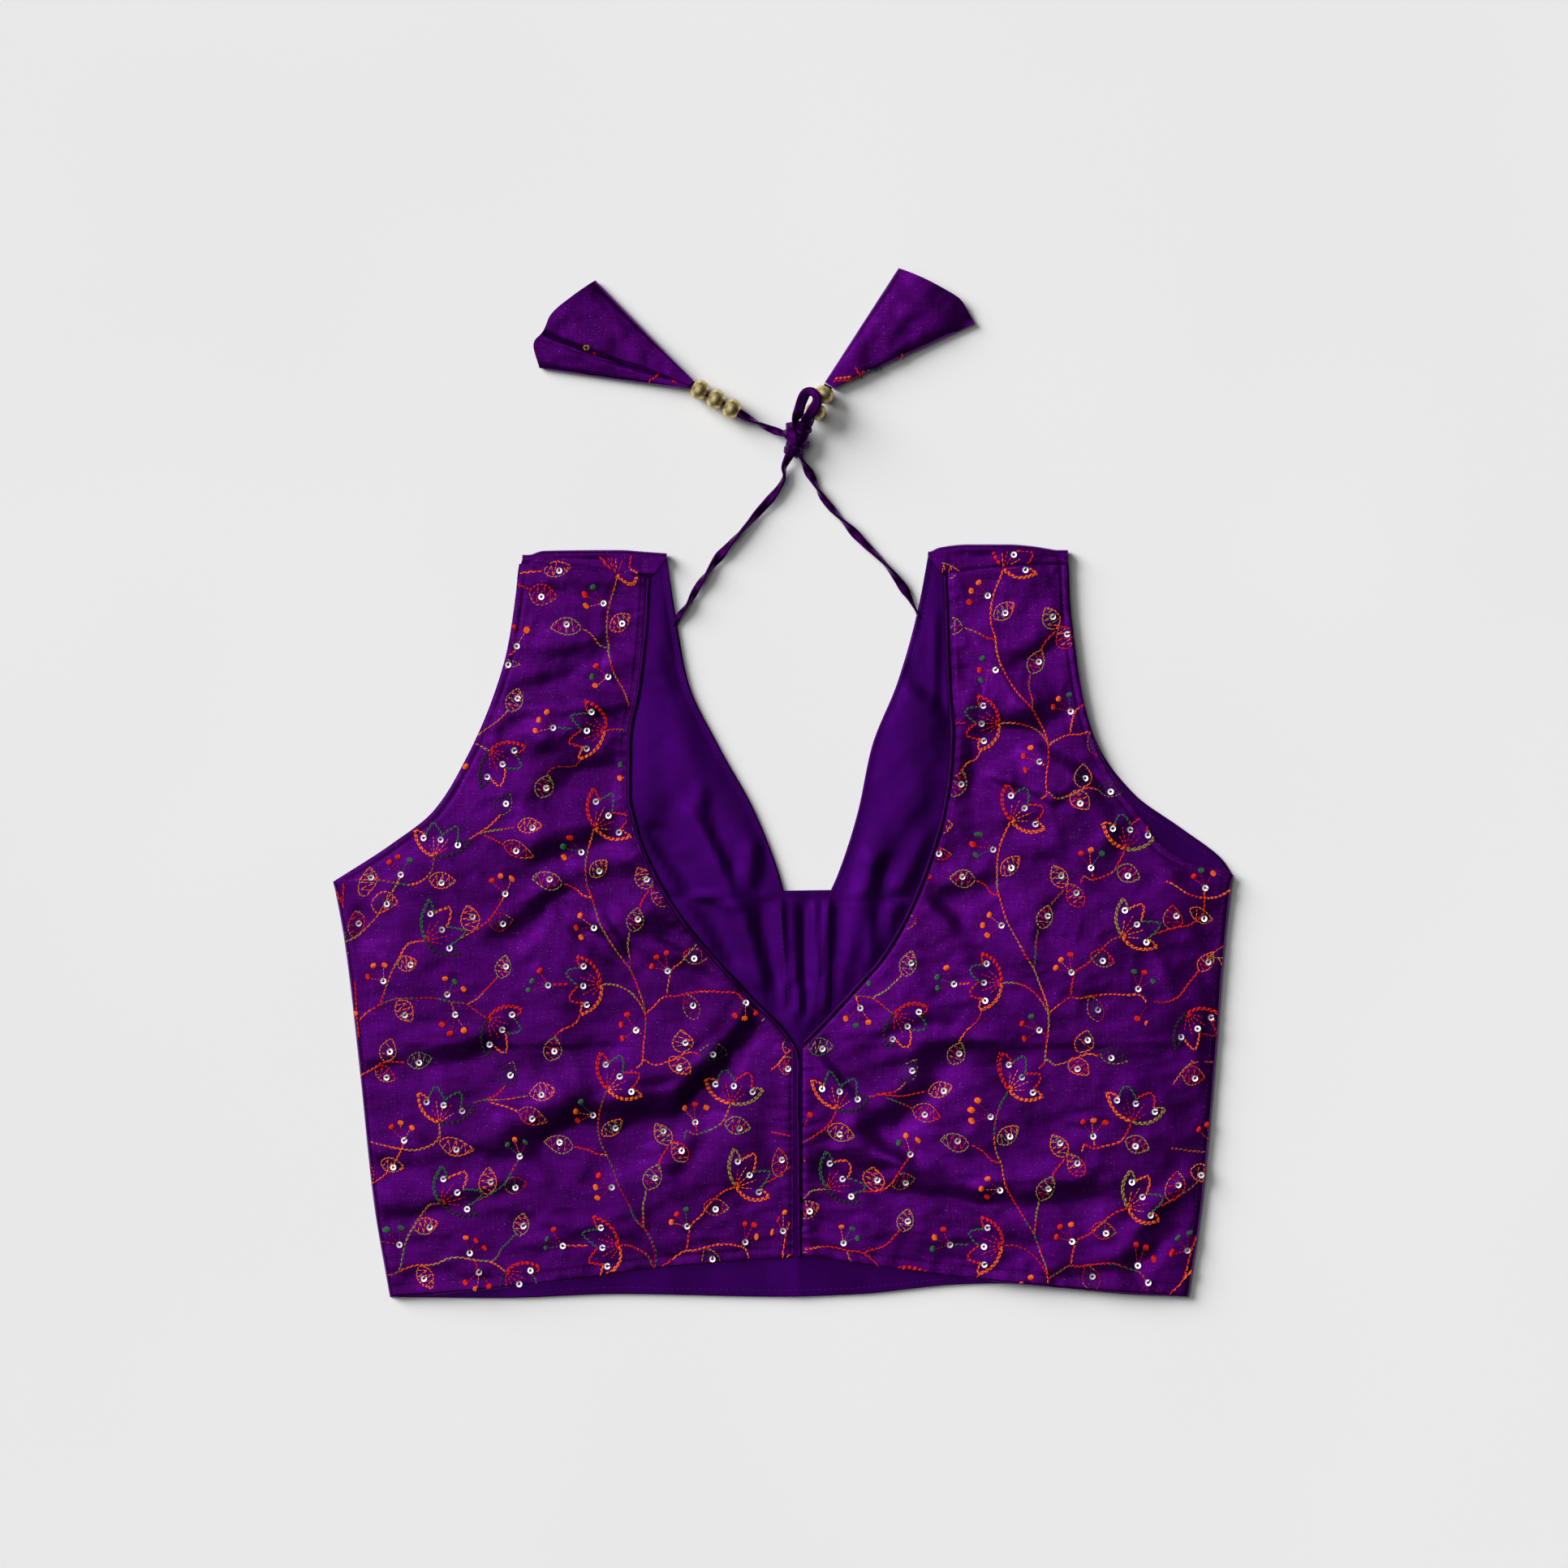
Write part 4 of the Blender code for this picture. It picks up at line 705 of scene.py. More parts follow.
def gathers(seed, length, spacing, height, reach):
    """Uneven little puckers along a seam. Columns: place, height, half width, reach in from the seam, slant."""
    chance = np.random.default_rng(seed)
    rows = []
    place = 0.0
    while place < length:
        place += spacing * chance.uniform(0.6, 1.5)
        rows.append(
            (
                place,
                height * chance.uniform(0.35, 1.3),
                spacing * chance.uniform(0.2, 0.32),
                reach * chance.uniform(0.45, 1.7),
                chance.uniform(-0.45, 0.45),
            )
        )
    return rows


def puckered(rows, away, along):
    total = np.zeros(np.shape(away))
    for place, height, half_width, reach, slant in rows:
        offset = (along - place - slant * away) / half_width
        total += height * np.exp(-(offset**2) - (away / reach) ** 2)
    return total


SEAMS = {
    "left": (
        (INNER_LEFT, gathers(11, INNER_LEFT.run[-1], 4.4, 0.5, 7.0)),
        (OUTER_LEFT, gathers(12, OUTER_LEFT.run[-1], 6.0, 0.28, 5.0)),
    ),
    "right": (
        (INNER_RIGHT, gathers(13, INNER_RIGHT.run[-1], 4.4, 0.5, 7.0)),
        (OUTER_RIGHT, gathers(14, OUTER_RIGHT.run[-1], 6.0, 0.28, 5.0)),
    ),
}
HEMS = {"left": LEFT_FRONT_HEM, "right": RIGHT_FRONT_HEM}
HEM_GATHERS = gathers(15, 440.0, 7.0, 0.3, 6.0)
TOPSTITCH_IN = 3.6
HEM_STITCH_IN = 5.0
RIM = (0.4, 1.1)
CLOTH_CLEARANCE = 0.8


def from_edges(side, x, y):
    """Distances in from a front's neck, its outer edge, its hem and its shoulder seam."""
    (inner, _), (outer, _) = SEAMS[side]
    return inner.near(x, y)[0], outer.near(x, y)[0], y - read(HEMS[side], x), seam_y(x) - y


def relief(side, x, y):
    """What the finer folds, puckers and stitching add to a front's upper face."""
    x, y = np.asarray(x, float), np.asarray(y, float)
    total = slopes(FRONT_SLOPES, x, y) + 0.5 * folds(FINE_CREASES, x, y) - 0.6 * folds(FRONT_FOLDS, x, y)
    total += 0.45 * noise(x + 0.5 * y, y - 0.2 * x, 19.0, 1) - 0.8 * np.abs(noise(x + 0.4 * y, y, 24.0, 4))
    total -= 0.3 * np.abs(noise(x - 0.3 * y, 1.5 * y, 11.0, 5))
    total += 0.2 * noise(x, 1.6 * y, 8.0, 2) + 0.06 * noise(x, 2.0 * y, 3.4, 3)
    (inner, inner_rows), (outer, outer_rows) = SEAMS[side]
    for edge, rows, groove in ((inner, inner_rows, 1.4), (outer, outer_rows, TOPSTITCH_IN)):
        away, along = edge.near(x, y)
        total = total * (0.3 + 0.7 * rising(away, 6.0))
        total += puckered(rows, np.maximum(away, 0), along)
        total -= 0.28 * np.exp(-(((away - groove) / 0.8) ** 2))
    up = y - read(HEMS[side], x)
    total += puckered(HEM_GATHERS, np.maximum(up, 0), x + 220.0)
    total -= 0.3 * np.exp(-(((up - HEM_STITCH_IN) / 0.9) ** 2))
    total -= 0.35 * np.exp(-(((seam_y(x) - y) / 1.0) ** 2))
    return total


def front_top(side, x, y):
    """A front's upper face, with its finer folds, always clear of the lining."""
    top = front_bottom(x, y) + FRONT_WALL + relief(side, x, y)
    above = top - lining_top(x, y) - CLOTH_CLEARANCE
    return lining_top(x, y) + CLOTH_CLEARANCE + 0.5 * (above + np.sqrt(above**2 + 0.1))


def rounded(upper, lower, away):
    """The rim of a panel rounded off towards its edge."""
    share = (1 - np.clip(away / RIM[1], 0, 1)) ** 2
    return upper - 0.55 * share, lower + 0.3 * share


def finish_mesh(thing, sharp_angle=None):
    if sharp_angle is not None:
        thing.data.set_sharp_from_angle(angle=math.radians(sharp_angle))
    bpy.context.scene.collection.objects.link(thing)
    return thing


def mesh_object(name, points, faces, finishes, slots=None, sharp_angle=None):
    """A smooth-shaded object from points in millimetres."""
    mesh = bpy.data.meshes.new(name)
    mesh.from_pydata((np.asarray(points, float) * MM).tolist(), [], faces)
    for finish in finishes:
        mesh.materials.append(finish)
    if slots is not None:
        mesh.polygons.foreach_set("material_index", np.asarray(slots, np.int32))
    mesh.shade_smooth()
    return finish_mesh(bpy.data.objects.new(name, mesh), sharp_angle)


def shell(name, lower, upper, finish, present=None):
    """A thin closed sheet of cloth between two grids of points, over the cells that are present."""
    rows, columns = upper.shape[0] - 1, upper.shape[1] - 1
    if present is None:
        present = np.ones((rows, columns), bool)
    used = np.zeros((rows + 1, columns + 1), bool)
    for down in (0, 1):
        for across in (0, 1):
            used[down : rows + down, across : columns + across] |= present
    index = (np.cumsum(used) - 1).reshape(used.shape)
    count = int(used.sum())
    r, c = np.nonzero(present)
    corners = [(r, c), (r, c + 1), (r + 1, c + 1), (r + 1, c)]
    ring = np.column_stack([index[corner] for corner in corners])
    faces = [ring, ring[:, ::-1] + count]
    padded = np.pad(present, 1)
    for k, (down, across) in enumerate(((-1, 0), (0, 1), (1, 0), (0, -1))):
        open_here = ~padded[r + 1 + down, c + 1 + across]
        a, b = ring[open_here, k], ring[open_here, (k + 1) % 4]
        faces.append(np.column_stack([a + count, b + count, b, a]))
    points = np.concatenate([upper[used], lower[used]])
    return mesh_object(name, points, np.concatenate(faces).tolist(), [finish], sharp_angle=60)


def place(piece, slot=None, *nodes):
    """The piece rides with the blouse and stands for some solids. The slot is not used."""
    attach(piece, "root")
    if nodes:
        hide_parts(*nodes)
    return piece


class Finish:
    """A Principled material whose nodes are added a few at a time."""

    def __init__(self, name, colour, roughness, **values):
        self.material = bpy.data.materials.new(name)
        self.material.use_nodes = True
        self.tree = self.material.node_tree
        self.shader = self.tree.nodes["Principled BSDF"]
        self.set("Base Color", (*colour, 1.0))
        self.set("Roughness", roughness)
        for key, value in values.items():
            self.set(key.replace("_", " ").title().replace("Ior", "IOR"), value)
        self.coordinates = self.tree.nodes.new("ShaderNodeTexCoord").outputs["Object"]

    def set(self, socket, value):
        self.shader.inputs[socket].default_value = value

    def link(self, a, b):
        self.tree.links.new(a, b)

    def noise(self, per_mm, detail=2.0, roughness=0.5):
        """Noise from 0 to 1 with so many features to the millimetre along X, Y and Z."""
        mapping = self.tree.nodes.new("ShaderNodeMapping")
        mapping.inputs["Scale"].default_value = [n / MM for n in per_mm]
        self.link(self.coordinates, mapping.inputs["Vector"])
        node = self.tree.nodes.new("ShaderNodeTexNoise")
        node.inputs["Scale"].default_value = 1.0
        node.inputs["Detail"].default_value = detail
        node.inputs["Roughness"].default_value = roughness
        self.link(mapping.outputs["Vector"], node.inputs["Vector"])
        return node.outputs["Fac"]

    def ramp(self, value, stops):
        """A colour for each value, through (place, colour) stops."""
        node = self.tree.nodes.new("ShaderNodeValToRGB")
        elements = node.color_ramp.elements
        while len(elements) < len(stops):
            elements.new(0.5)
        for element, (at, colour) in zip(elements, stops):
            element.position = at
            element.color = (*colour, 1.0)
        self.link(value, node.inputs["Fac"])
        return node.outputs["Color"]

    def mix(self, share, a, b, blend="MIX"):
        node = self.tree.nodes.new("ShaderNodeMix")
        node.data_type = "RGBA"
        node.blend_type = blend
        for socket, value in ((node.inputs[0], share), (node.inputs[6], a), (node.inputs[7], b)):
            if isinstance(value, bpy.types.NodeSocket):
                self.link(value, socket)
            elif isinstance(value, tuple):
                socket.default_value = (*value, 1.0)
            else:
                socket.default_value = value
        return node.outputs[2]

    def math(self, operation, a, b):
        node = self.tree.nodes.new("ShaderNodeMath")
        node.operation = operation
        for socket, value in zip(node.inputs, (a, b)):
            if isinstance(value, bpy.types.NodeSocket):
                self.link(value, socket)
            else:
                socket.default_value = value
        return node.outputs[0]

    def span(self, value, low, high):
        """A 0 to 1 value spread over another range."""
        return self.math("ADD", self.math("MULTIPLY", value, high - low), low)

    def bump(self, height, strength, distance):
        node = self.tree.nodes.new("ShaderNodeBump")
        node.inputs["Strength"].default_value = strength
        node.inputs["Distance"].default_value = distance * MM
        self.link(height, node.inputs["Height"])
        self.link(node.outputs["Normal"], self.shader.inputs["Normal"])

    def colour(self, socket):
        self.link(socket, self.shader.inputs["Base Color"])

    def rough(self, value, low, high):
        self.link(self.span(value, low, high), self.shader.inputs["Roughness"])


def satin(name, dark, middle, light, glint, metallic=0.85, roughness=(0.24, 0.36)):
    """Slubbed satin: fine threads across, a faint grain down, cloudy colour and small pale glints, which are painted
    highlights in its colour.
    """
    finish = Finish(name, middle, 0.4, metallic=metallic, specular_ior_level=0.15)
    cloudy = finish.noise((0.03, 0.05, 0.03), 3.0)
    across = finish.noise((0.09, 1.7, 0.5), 3.0, 0.6)
    down = finish.noise((1.5, 0.07, 0.5), 2.0)
    threads = finish.math("ADD", finish.math("MULTIPLY", across, 0.6), finish.math("MULTIPLY", down, 0.4))
    shade = finish.math("ADD", finish.math("MULTIPLY", threads, 0.65), finish.math("MULTIPLY", cloudy, 0.35))
    base = finish.ramp(shade, ((0.34, dark), (0.5, middle), (0.66, light)))
    # Small pale glints of painted highlight, mixed into the base colour
    painted_glints = finish.ramp(finish.noise((1.3, 2.2, 1.3), 1.0), ((0.71, (0, 0, 0)), (0.79, (1, 1, 1))))
    finish.colour(finish.mix(painted_glints, base, glint))
    finish.rough(threads, *roughness)
    finish.bump(threads, 0.35, 0.1)
    return finish.material


def plain_cloth(name, dark, light, metallic=0.88):
    """Plain lustrous cloth with a fine even weave."""
    finish = Finish(name, light, 0.5, metallic=metallic, specular_ior_level=0.15)
    cloudy = finish.noise((0.04, 0.02, 0.04), 3.0)
    weave = finish.noise((2.2, 2.2, 2.2), 2.0)
    shade = finish.math("ADD", finish.math("MULTIPLY", cloudy, 0.7), finish.math("MULTIPLY", weave, 0.3))
    finish.colour(finish.ramp(shade, ((0.36, dark), (0.64, light))))
    finish.rough(weave, 0.24, 0.36)
    finish.bump(weave, 0.2, 0.06)
    return finish.material


def thread(name, colour):
    """Shiny twisted embroidery thread."""
    finish = Finish(name, colour, 0.4, specular_ior_level=0.3)
    twist = finish.noise((1.6, 1.6, 1.6), 2.0)
    deep = tuple(c * 0.6 for c in colour)
    bright = tuple(min(1.0, c * 1.25) for c in colour)
    finish.colour(finish.ramp(twist, ((0.35, deep), (0.65, bright))))
    finish.rough(twist, 0.35, 0.6)
    finish.bump(twist, 0.4, 0.1)
    return finish.material


def metal_bead(name):
    """Antique gold with a worn, slightly hammered face."""
    finish = Finish(name, (0.6, 0.48, 0.2), 0.3, metallic=0.8)
    wear = finish.noise((0.35, 0.35, 0.35), 4.0)
    dents = finish.noise((0.9, 0.9, 0.9), 2.0)
    stops = ((0.33, (0.34, 0.26, 0.12)), (0.5, (0.72, 0.57, 0.24)), (0.68, (0.95, 0.84, 0.48)))
    finish.colour(finish.ramp(wear, stops))
    finish.rough(wear, 0.3, 0.5)
    finish.bump(dents, 0.12, 0.2)
    return finish.material


def pearl(name):
    """Milky sequin, a little uneven from one to the next."""
    finish = Finish(name, (0.9, 0.9, 0.92), 0.25, coat_weight=0.5, coat_roughness=0.15)
    tone = finish.noise((0.12, 0.12, 0.12), 2.0)
    stops = ((0.4, (0.55, 0.55, 0.6)), (0.5, (0.9, 0.9, 0.93)), (0.65, (1.0, 1.0, 1.0)))
    finish.colour(finish.ramp(tone, stops))
    finish.rough(tone, 0.15, 0.35)
    return finish.material


def floor_finish():
    finish = Finish("pale_floor", (0.82, 0.82, 0.82), 0.9, specular_ior_level=0.1)
    tone = finish.noise((0.004, 0.004, 0.004), 1.0)
    finish.colour(finish.ramp(tone, ((0.3, (0.81, 0.81, 0.812)), (0.7, (0.83, 0.83, 0.83)))))
    return finish.material


SATIN = satin("satin", (0.052, 0.0004, 0.09), (0.1, 0.0008, 0.185), (0.143, 0.0015, 0.282), (0.38, 0.13, 0.57))
# Each front's satin is set to the photograph's tones, as painted light and shade on two copies of one satin: the
# left a shade deeper, the right a shade lighter
FRONT_SATIN = {
    # The left front's copy, darker: painted shade
    "left": satin(
        "satin_left_painted_shade", (0.047, 0.0004, 0.082), (0.091, 0.0008, 0.168), (0.131, 0.0015, 0.258), (0.36, 0.12, 0.54)
    ),
    # The right front's copy, lighter: painted light
    "right": satin(
        "satin_right_painted_light", (0.06, 0.0005, 0.104), (0.116, 0.001, 0.215), (0.166, 0.002, 0.326), (0.42, 0.15, 0.62)
    ),
}
LINING = plain_cloth("lining_cloth", (0.05, 0.0005, 0.12), (0.085, 0.001, 0.215))
PIPING = plain_cloth("piping_cloth", (0.05, 0.0005, 0.09), (0.085, 0.001, 0.155))
TIE = plain_cloth("tie_cloth", (0.04, 0.0005, 0.07), (0.075, 0.001, 0.13))
GOLD = metal_bead("antique_gold")
PEARL = pearl("sequin_pearl")
THREAD_COLOURS = {
    "orange": (0.95, 0.115, 0.008),
    "red": (0.6, 0.012, 0.005),
    "green": (0.03, 0.1, 0.045),
    "dark": (0.02, 0.016, 0.02),
    "olive": (0.3, 0.2, 0.04),
    "maroon": (0.3, 0.004, 0.015),
    "violet": (0.05, 0.004, 0.09),
}
THREADS = list(THREAD_COLOURS)
THREAD_FINISHES = [thread(f"thread_{name}", colour) for name, colour in THREAD_COLOURS.items()]

# Camera, straight down over the middle of the photograph's frame
VIEW_WIDTH = 786.1
VIEW_MIDDLE = (0.4, 68.8)
LENS = 85.0
SENSOR = 36.0


def camera():
    data = bpy.data.cameras.new("camera")
    data.lens = LENS
    data.sensor_width = SENSOR
    thing = bpy.data.objects.new("camera", data)
    height = VIEW_WIDTH * LENS / SENSOR
    thing.location = (VIEW_MIDDLE[0] * MM, VIEW_MIDDLE[1] * MM, height * MM)
    bpy.context.scene.collection.objects.link(thing)
    bpy.context.scene.camera = thing


def smooth_path(points, step):
    """Places along a smooth curve through given points, about a step apart."""
    points = np.array(points, float)
    ends = np.concatenate([[2 * points[0] - points[1]], points, [2 * points[-1] - points[-2]]])
    t = np.linspace(0, 1, 12, endpoint=False)[:, None]
    fine = []
    for k in range(1, len(ends) - 2):
        a, b, c, d = ends[k - 1 : k + 3]
        fine.append(
            0.5 * (2 * b + (c - a) * t + (2 * a - 5 * b + 4 * c - d) * t**2)
            + 0.5 * (3 * b - a - 3 * c + d) * t**3
        )
    fine = np.concatenate(fine + [points[-1:]])
    run = np.concatenate([[0], np.cumsum(np.linalg.norm(np.diff(fine, axis=0), axis=1))])
    even = np.linspace(0, run[-1], max(2, round(run[-1] / step)) + 1)
    return np.column_stack([np.interp(even, run, column) for column in fine.T])


def tube(name, finish, path, half_width, half_height, turn, sides=14, crease=0.0):
    """A closed tube along a path, flattened and turned round it by place."""
    run = np.gradient(path, axis=0)
    run /= np.linalg.norm(run, axis=1)[:, None]
    level = np.column_stack([run[:, 1], -run[:, 0], np.zeros(len(path))])
    level /= np.maximum(np.linalg.norm(level, axis=1), 1e-6)[:, None]
    up = np.cross(level, run)
    angles = 2 * math.pi * np.arange(sides) / sides
    cos_turn, sin_turn = np.cos(turn)[:, None, None], np.sin(turn)[:, None, None]
    wide = level[:, None] * cos_turn + up[:, None] * sin_turn
    tall = up[:, None] * cos_turn - level[:, None] * sin_turn
    pinch = 1 - crease * np.cos(2 * angles)[None, :, None] ** 2 * np.sin(angles)[None, :, None] ** 2
    across = wide * (np.cos(angles)[None, :] * half_width[:, None])[:, :, None]
    rise = tall * (np.sin(angles)[None, :] * half_height[:, None])[:, :, None] * pinch
    points = (path[:, None] + across + rise).reshape(-1, 3)
    rings = np.arange(len(path) * sides).reshape(-1, sides)
    a, b = rings[:-1], rings[1:]
    quads = np.stack([a, b, np.roll(b, -1, axis=1), np.roll(a, -1, axis=1)], axis=-1).reshape(-1, 4)
    faces = quads.tolist() + [rings[0].tolist(), rings[-1, ::-1].tolist()]
    return points, faces


FLOOR_CLEARANCE = 0.15


def tie(name, route, wide, thin, pitch, seed, flat, *nodes):
    """A twisted satin tie: a flattened tube that shows its width and its edge by turns, flat on the loop."""
    path = smooth_path(route, 1.1)
    along = np.linspace(0, 1.1 * len(path), len(path))
    chance = np.random.default_rng(seed)
    turn = math.pi * along / pitch + 0.9 * np.sin(along / 17.0 + chance.uniform(0, 6))
    ends = np.minimum(1, 0.5 + along / 30.0)
    swell = 1 + 0.1 * np.sin(along / 5.3 + chance.uniform(0, 6)) + 0.06 * np.sin(along / 2.1)
    if flat:
        spot, reach = flat
        near = np.exp(-((np.linalg.norm(path - spot, axis=1) / reach) ** 2))
        level = math.pi * np.round(turn[int(np.argmax(near))] / math.pi)
        turn = turn + (level - turn) * np.clip(near * 1.6, 0, 1)
        swell = swell * (1 + 0.32 * near)
    half_width, half_height = wide * swell * ends, thin * (2 - swell) * ends
    points, faces = tube(name, TIE, path, half_width, half_height, turn, 14, 0.5)
    points[:, 2] = np.maximum(points[:, 2], FLOOR_CLEARANCE)
    return place(mesh_object(name, points, faces, [TIE]), "tie", *nodes), path


camera()
left_tie, left_path = tie(
    "tie_left_cloth", LEFT_TIE + LEFT_IN_KNOT + LEFT_END, 2.1, 1.1, 25.0, 31, None, "tie_left", "tie_left_end"
)
right_tie, right_path = tie(
    "tie_right_cloth",
    RIGHT_TIE + RIGHT_IN_KNOT + BOW_LOOP + LOOP_TO_END + RIGHT_END,
    2.1,
    1.1,
    23.0,
    32,
    (LOOP_MIDDLE, 9.0),
    "tie_right",
    "bow_loop",
    "tie_right_end",
)

# Knot: the bands that wrap round it, each a route of its own
KNOT_BANDS = (
    ((0.6, 245.4, 3.0), (2.6, 243.0, 6.6), (6.0, 240.2, 8.6), (9.6, 238.6, 7.4), (12.4, 238.6, 3.8)),
    ((0.9, 236.0, 3.2), (3.6, 236.6, 6.8), (7.0, 238.8, 8.2), (10.2, 242.4, 7.2), (11.8, 246.4, 4.0)),
    ((3.0, 249.2, 3.8), (4.0, 245.0, 7.6), (5.2, 240.4, 8.4), (6.6, 235.6, 6.4), (7.4, 232.6, 3.2)),
    ((6.4, 248.6, 5.4), (9.0, 247.4, 8.2), (11.8, 246.2, 7.2), (12.8, 244.4, 4.4)),
)
KNOT_CORE = ((3.6, 233.6, 4.0), (5.4, 238.0, 4.6), (7.4, 243.0, 4.8), (8.6, 248.0, 5.2))


def knot():
    """The knot: cloth bands wrapped over a soft core."""
    points, faces = [], []
    for k, route in enumerate((KNOT_CORE, *KNOT_BANDS)):
        path = smooth_path(route, 0.7)
        share = np.linspace(0, 1, len(path))
        swell = 0.72 + 0.28 * np.sin(math.pi * share)
        wide, thin = (4.6, 3.6) if k == 0 else (2.6, 1.5)
        turn = 0.35 * np.sin(3 * share + k)
        more, rings = tube("band", TIE, path, wide * swell, thin * swell, turn, 14, 0.4)
        base = sum(len(p) for p in points)
        points.append(more)
        faces += [[base + v for v in ring] for ring in rings]
    points = np.concatenate(points)
    points[:, 2] = np.maximum(points[:, 2], FLOOR_CLEARANCE)
    return place(mesh_object("knot_cloth", points, faces, [TIE]), "tie", "knot")


def bead(name, node, spot, towards, seed):
    """A bead turned round its tie, a little dented."""
    mouth = math.asin(BEAD_BORE / BEAD_RADIUS)
    arc = np.linspace(math.pi - mouth, mouth, 18)
    outer = np.column_stack([BEAD_RADIUS * np.sin(arc), BEAD_HALF_LENGTH * np.cos(arc)])
    inner = [(BEAD_BORE - 0.25, outer[-1, 1] - 0.5), (BEAD_BORE - 0.25, outer[0, 1] + 0.5)]
    profile = np.concatenate([outer, inner])
    segments = 36
    angles = 2 * math.pi * np.arange(segments) / segments
    along = profile[None, :, 1] + 3 * np.sin(angles)[:, None]
    dents = 1 + 0.006 * noise(np.cos(angles)[:, None] * 4, along, 2.2, seed)
    radius = profile[None, :, 0] * dents
    points = np.stack(
        [radius * np.cos(angles)[:, None], radius * np.sin(angles)[:, None], profile[None, :, 1] + 0 * radius], -1
    )
    rings = np.arange(segments * len(profile)).reshape(segments, -1)
    a, b = rings, np.roll(rings, -1, axis=0)
    quads = np.stack([a, b, np.roll(b, -1, axis=1), np.roll(a, -1, axis=1)], -1).reshape(-1, 4)
    thing = mesh_object(name, points.reshape(-1, 3), quads.tolist(), [GOLD], sharp_angle=62)
    thing.location = [c * MM for c in spot]
    thing.rotation_euler = (0, math.pi / 2, math.atan2(towards[1], towards[0]))
    return place(thing, "bead", node)


knot()
BEADS = {"left": [], "right": []}
for side, spots in (("left", LEFT_BEADS), ("right", RIGHT_BEADS)):
    for number, spot in enumerate(spots, 1):
        node = f"bead_{side}_{number}"
        run = np.subtract(spots[-1], spots[0])
        BEADS[side].append(bead(node + "_gold", node, spot, run, 40 + number))


def turned(points, x, y, degrees):
    """Points of a motif turned and set in its place."""
    angle = math.radians(degrees)
    c, s = math.cos(angle), math.sin(angle)
    points = np.asarray(points, float)
    return np.column_stack([x + c * points[:, 0] - s * points[:, 1], y + s * points[:, 0] + c * points[:, 1]])


def polar(*rows):
    """Points from (degrees, distance) rows."""
    return [(r * math.cos(math.radians(a)), r * math.sin(math.radians(a))) for a, r in rows]


